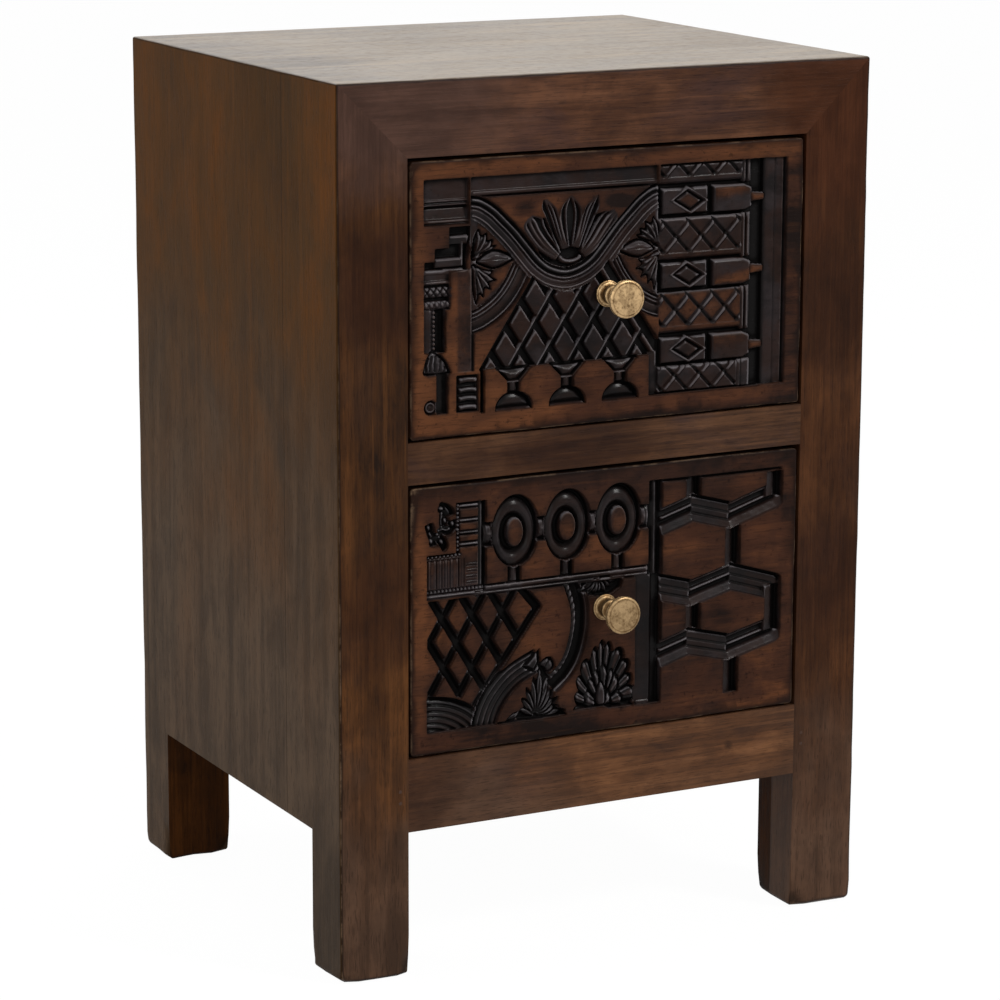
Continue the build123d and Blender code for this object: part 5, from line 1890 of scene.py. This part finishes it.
# sections from front to back, as (radius, depth, hollow)
KNOB_HEAD = (  # radius as a share of the knob's, depth in millimetres
    (0, 0, 0), (0.3, 0.02, 0), (0.62, 0.1, 0), (0.8, 0.22, 0.1), (0.845, 0.34, 0.7), (0.875, 0.3, 0.3),
    (0.92, 0.42, 0), (0.965, 0.78, 0), (0.992, 1.25, 0), (1, 1.7, 0), (0.998, 2.1, 0), (0.985, 2.45, 0.1),
    (0.955, 2.62, 0.8), (0.965, 2.85, 0.6), (0.985, 3.05, 0), (0.985, 3.5, 0), (0.955, 3.85, 0.2),
    (0.9, 4.05, 0.5),
)
KNOB_NECK = (  # millimetres
    (9.2, 4.6, 0.6), (7.4, 5.4, 0.7), (6.1, 6.6, 0.7), (5.2, 8.2, 0.6), (4.7, 10.2, 0.5), (4.5, 12.2, 0.5),
    (4.5, 14.2, 0.5), (4.7, 16.2, 0.6), (5.1, 17.4, 0.9), (5.7, 17.7, 0.7), (6.5, 18.1, 0.1), (6.9, 18.7, 0),
    (7, 19.4, 0), (6.85, 20.1, 0.1), (6.3, 20.7, 0.5), (5.8, 21.1, 1), (5.6, 21.6, 1), (5.8, 22.2, 0.6),
    (6.1, 23.2, 0.2), (6.2, 25, 0.3), (0, 25, 0.3),
)
PLATE_RIM = (  # shares of the backplate's radius and thickness
    (0.83, 0.1, 0), (0.88, 0.28, 0.1), (0.9, 0.42, 0.8), (0.95, 0.46, 0.2), (0.985, 0.54, 0), (1, 0.7, 0),
    (1, 0.98, 0.4), (0.98, 1, 0.8),
)
BORE = 2.25 * MM


class CABINET_OT_knobs(bpy.types.Operator):
    """Turns the two knobs and their backplates"""

    bl_idname = "cabinet.knobs"
    bl_label = "Brass knobs"

    def execute(self, context):
        settings = context.scene.cabinet_knobs
        for level, shine in (("upper", 1.18), ("lower", 0.8)):
            metal = brass(level + " rubbed brass", settings, shine)
            node = level + "_knob"
            low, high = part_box(node)
            radius = (high.x - low.x) / 2
            section = [(radius * r, low.y + y * MM, hollow) for r, y, hollow in KNOB_HEAD]
            section += [(r * MM, min(low.y + y * MM, high.y), hollow) for r, y, hollow in KNOB_NECK]
            turned(node, section, metal, settings.sides)
            node = level + "_knob_backplate"
            low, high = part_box(node)
            radius, thick = (high.x - low.x) / 2, high.y - low.y
            section = [(BORE, low.y, 0.5), (5.6 * MM, low.y, 0.9), (6.4 * MM, low.y, 0.3)]
            section += [(radius * r, low.y + thick * y, hollow) for r, y, hollow in PLATE_RIM]
            turned(node, section + [(BORE, high.y, 0.8), section[0]], metal, settings.sides)
        return {"FINISHED"}


def islands(node):
    """The box of each separate solid in a CAD node, as (low, high) pairs."""
    mesh = bmesh.new()
    mesh.from_mesh(frame["nodes"][node].data)
    bmesh.ops.remove_doubles(mesh, verts=mesh.verts, dist=1e-6)
    left = set(mesh.verts)
    found = []
    while left:
        stack = [left.pop()]
        group = list(stack)
        while stack:
            for edge in stack.pop().link_edges:
                fresh = left.intersection(edge.verts)
                left -= fresh
                stack += fresh
                group += fresh
        spots = np.array([tuple(vert.co) for vert in group])
        found.append((spots.min(0), spots.max(0)))
    mesh.free()
    return sorted(found, key=lambda pair: tuple(np.round(pair[0], 5)))


class CABINET_OT_fixings(bpy.types.Operator):
    """Drives the tenon pins, the back's nails and the screws of the drawer fronts"""

    bl_idname = "cabinet.fixings"
    bl_label = "Pins, nails and screws"

    def execute(self, context):
        tones = [shade(tone, 0.9) for tone in tones_of(context.scene.cabinet_wood, "frame")]
        pin = plain_wood("pin wood", "y", 71, tones, 0.5)
        screw = steel("screw steel", (0.42, 0.4, 0.36), 0.3)
        nail = steel("nail steel", (0.2, 0.185, 0.17), 0.45)
        # node, finish, radii of the shank and of the head's foot, or 0 for the head's own, thickness, turn
        for node, material, shank, foot, thick, turn in (
            ("tenon_pins", pin, 0, 0, 0.2, -1),
            ("back_nails", nail, 0.9, 0, 0.8, 1),
            ("lower_front_screws", screw, 1.75, 1.75, 2.2, 1),
            ("upper_front_screws", screw, 1.75, 1.75, 2.2, 1),
        ):
            boxes = islands(node)
            size = boxes[0][1] - boxes[0][0]
            head = size[0] / 2
            front = 0 if turn < 0 else 1
            middles = [(low + high) / 2 for low, high in boxes]
            places = [(middle[0], box[front][1], middle[2]) for middle, box in zip(middles, boxes)]
            sizes = (shank * MM or head, head, foot * MM or head, thick * MM, size[1], turn * np.pi / 2)
            fixings(node, places, dict(zip(FIXING_SIZES, sizes), Sides=20), material)
        return {"FINISHED"}


class CABINET_OT_inner_pieces(bpy.types.Operator):
    """Finishes the boards inside: back, rails, runners, guides, stops and drawer boxes"""

    bl_idname = "cabinet.inner_pieces"
    bl_label = "Inner pieces"

    def execute(self, context):
        tones = tones_of(context.scene.cabinet_wood, "inner")
        finishes = {"screw_steel": steel("inside screw steel", (0.45, 0.43, 0.39), 0.32)}
        for number, (node, made) in enumerate(sorted(frame["nodes"].items())):
            if made.hide_render:  # replaced by a finished piece
                continue
            slot = SLOT_OF[node]
            low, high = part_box(node)
            grain = "xyz"[np.argmax(high - low)]
            key = slot if slot in finishes else f"{slot} {grain}"
            if key not in finishes:
                lightness = 0.8 if slot == "plywood" else 1.0
                finishes[key] = plain_wood(key, grain, 80 + number, [
                    shade(tone, lightness)
                    for tone in tones
                ])
            made.data.materials.clear()
            made.data.materials.append(finishes[key])
        return {"FINISHED"}


def lay_floor(settings):
    """White paper, which is lit by the lamps but is seen as nearly plain white."""
    corners = [(-30, -30, 0), (30, -30, 0), (30, 30, 0), (-30, 30, 0)]
    mesh = bpy.data.meshes.new("floor")
    mesh.from_pydata(corners, [], [(0, 1, 2, 3)])
    paint = Paint("floor paper")
    paper = paint.node("ShaderNodeBsdfDiffuse", None, {"Color": (0.82, 0.82, 0.82, 1)})
    glow = paint.node("ShaderNodeEmission", None, {"Color": (1, 1, 1, 1), "Strength": 1.025})
    share = paint.seen_plainly() * settings.whiteness
    paper = paint.node("ShaderNodeMixShader", None, {0: share, 1: paper, 2: glow})
    paint.node("ShaderNodeOutputMaterial", None, {"Surface": paper})
    mesh.materials.append(paint.owner)
    linked("floor", mesh)


def light_room(scene, settings):
    """Soft light from all round, seen as plain white."""
    scene.world = bpy.data.worlds.new("studio")
    air = Paint("studio air", scene.world)
    soft = air.node("ShaderNodeBackground", None, {"Color": (0.95, 0.97, 1.0, 1), "Strength": settings.room})
    white = air.node("ShaderNodeBackground", None, {"Color": (1, 1, 1, 1), "Strength": 1.0})
    choice = air.node("ShaderNodeMixShader", None, {0: air.seen_plainly(), 1: soft, 2: white})
    air.node("ShaderNodeOutputWorld", None, {"Surface": choice})


def area_lamp(name, place, target_height, size, power, colour):
    """A soft rectangular lamp, turned to the cabinet."""
    lamp = bpy.data.lights.new(name, "AREA")
    lamp.shape = "RECTANGLE"
    lamp.size, lamp.size_y = size
    lamp.energy = power
    lamp.color = colour
    made = linked(name, lamp)
    made.location = place
    aim = Vector((0, 0, target_height)) - Vector(place)
    made.rotation_euler = aim.to_track_quat("-Z", "Y").to_euler()


PIVOT = Vector((0, -0.0173, 0.28))  # the point that the camera turns round


def set_camera(scene, settings):
    """A long lens, at the front left and a little above."""
    azimuth, elevation, roll = settings.azimuth, settings.elevation, settings.roll
    level_back = Vector((np.sin(azimuth), -np.cos(azimuth), 0))
    back = level_back * np.cos(elevation) + Vector((0, 0, np.sin(elevation)))
    right = Vector((np.cos(azimuth), np.sin(azimuth), 0))
    up = back.cross(right)
    right, up = right * np.cos(roll) + up * np.sin(roll), up * np.cos(roll) - right * np.sin(roll)
    data = bpy.data.cameras.new("camera")
    data.lens = settings.lens
    data.sensor_width = 36
    data.clip_end = 100
    place = PIVOT + back * settings.distance + right * settings.shift_right + up * settings.shift_up
    scene.camera = linked("camera", data)
    turn = Matrix((right, up, back)).transposed().to_4x4()
    scene.camera.matrix_world = Matrix.Translation(place) @ turn


class CABINET_OT_stage(bpy.types.Operator):
    """Sets the floor, lights and camera"""

    bl_idname = "cabinet.stage"
    bl_label = "Floor, lights and camera"

    def execute(self, context):
        settings = context.scene.cabinet_stage
        lay_floor(settings)
        light_room(context.scene, settings)
        area_lamp("key", (1.55, -2.25, 2.35), 0.35, (0.65, 0.65), settings.key, (1.0, 0.985, 0.96))
        area_lamp("side", (-2.7, 0.6, 1.3), 0.3, (1.6, 1.6), settings.side, (1.0, 0.98, 0.95))
        area_lamp("fill", (-2.0, -2.6, 1.3), 0.3, (1.6, 2.0), settings.fill, (1.0, 0.99, 0.98))
        area_lamp("top", (0.3, 1.6, 2.6), 0.6, (2.2, 1.2), settings.top, (1.0, 1.0, 1.0))
        set_camera(context.scene, settings)
        context.scene.view_settings.view_transform = "Standard"
        return {"FINISHED"}


class CABINET_PT_panel(bpy.types.Panel):
    """Lists the sizes, colours and steps of the cabinet"""

    bl_idname = "CABINET_PT_panel"
    bl_label = "Carved cabinet"
    bl_space_type = "VIEW_3D"
    bl_region_type = "UI"
    bl_category = "Cabinet"

    def draw(self, context):
        for name, group in GROUPS.items():
            box = self.layout.box()
            for field in group.__annotations__:
                box.prop(getattr(context.scene, name), field)
        for operator in OPERATORS:
            self.layout.operator(operator.bl_idname)


OPERATORS = (
    CABINET_OT_carcass,
    CABINET_OT_drawer_fronts,
    CABINET_OT_knobs,
    CABINET_OT_fixings,
    CABINET_OT_inner_pieces,
    CABINET_OT_stage,
)


def register():
    for made in (*GROUPS.values(), *OPERATORS, CABINET_PT_panel):
        bpy.utils.register_class(made)
    for name, group in GROUPS.items():
        setattr(bpy.types.Scene, name, PointerProperty(type=group))


def unregister():
    for name in GROUPS:
        delattr(bpy.types.Scene, name)
    for made in (CABINET_PT_panel, *OPERATORS, *GROUPS.values()):
        bpy.utils.unregister_class(made)


def main():
    register()
    bpy.ops.cabinet.carcass()
    bpy.ops.cabinet.drawer_fronts()
    bpy.ops.cabinet.knobs()
    bpy.ops.cabinet.fixings()
    bpy.ops.cabinet.inner_pieces()
    bpy.ops.cabinet.stage()


if __name__ == "__main__":
    main()
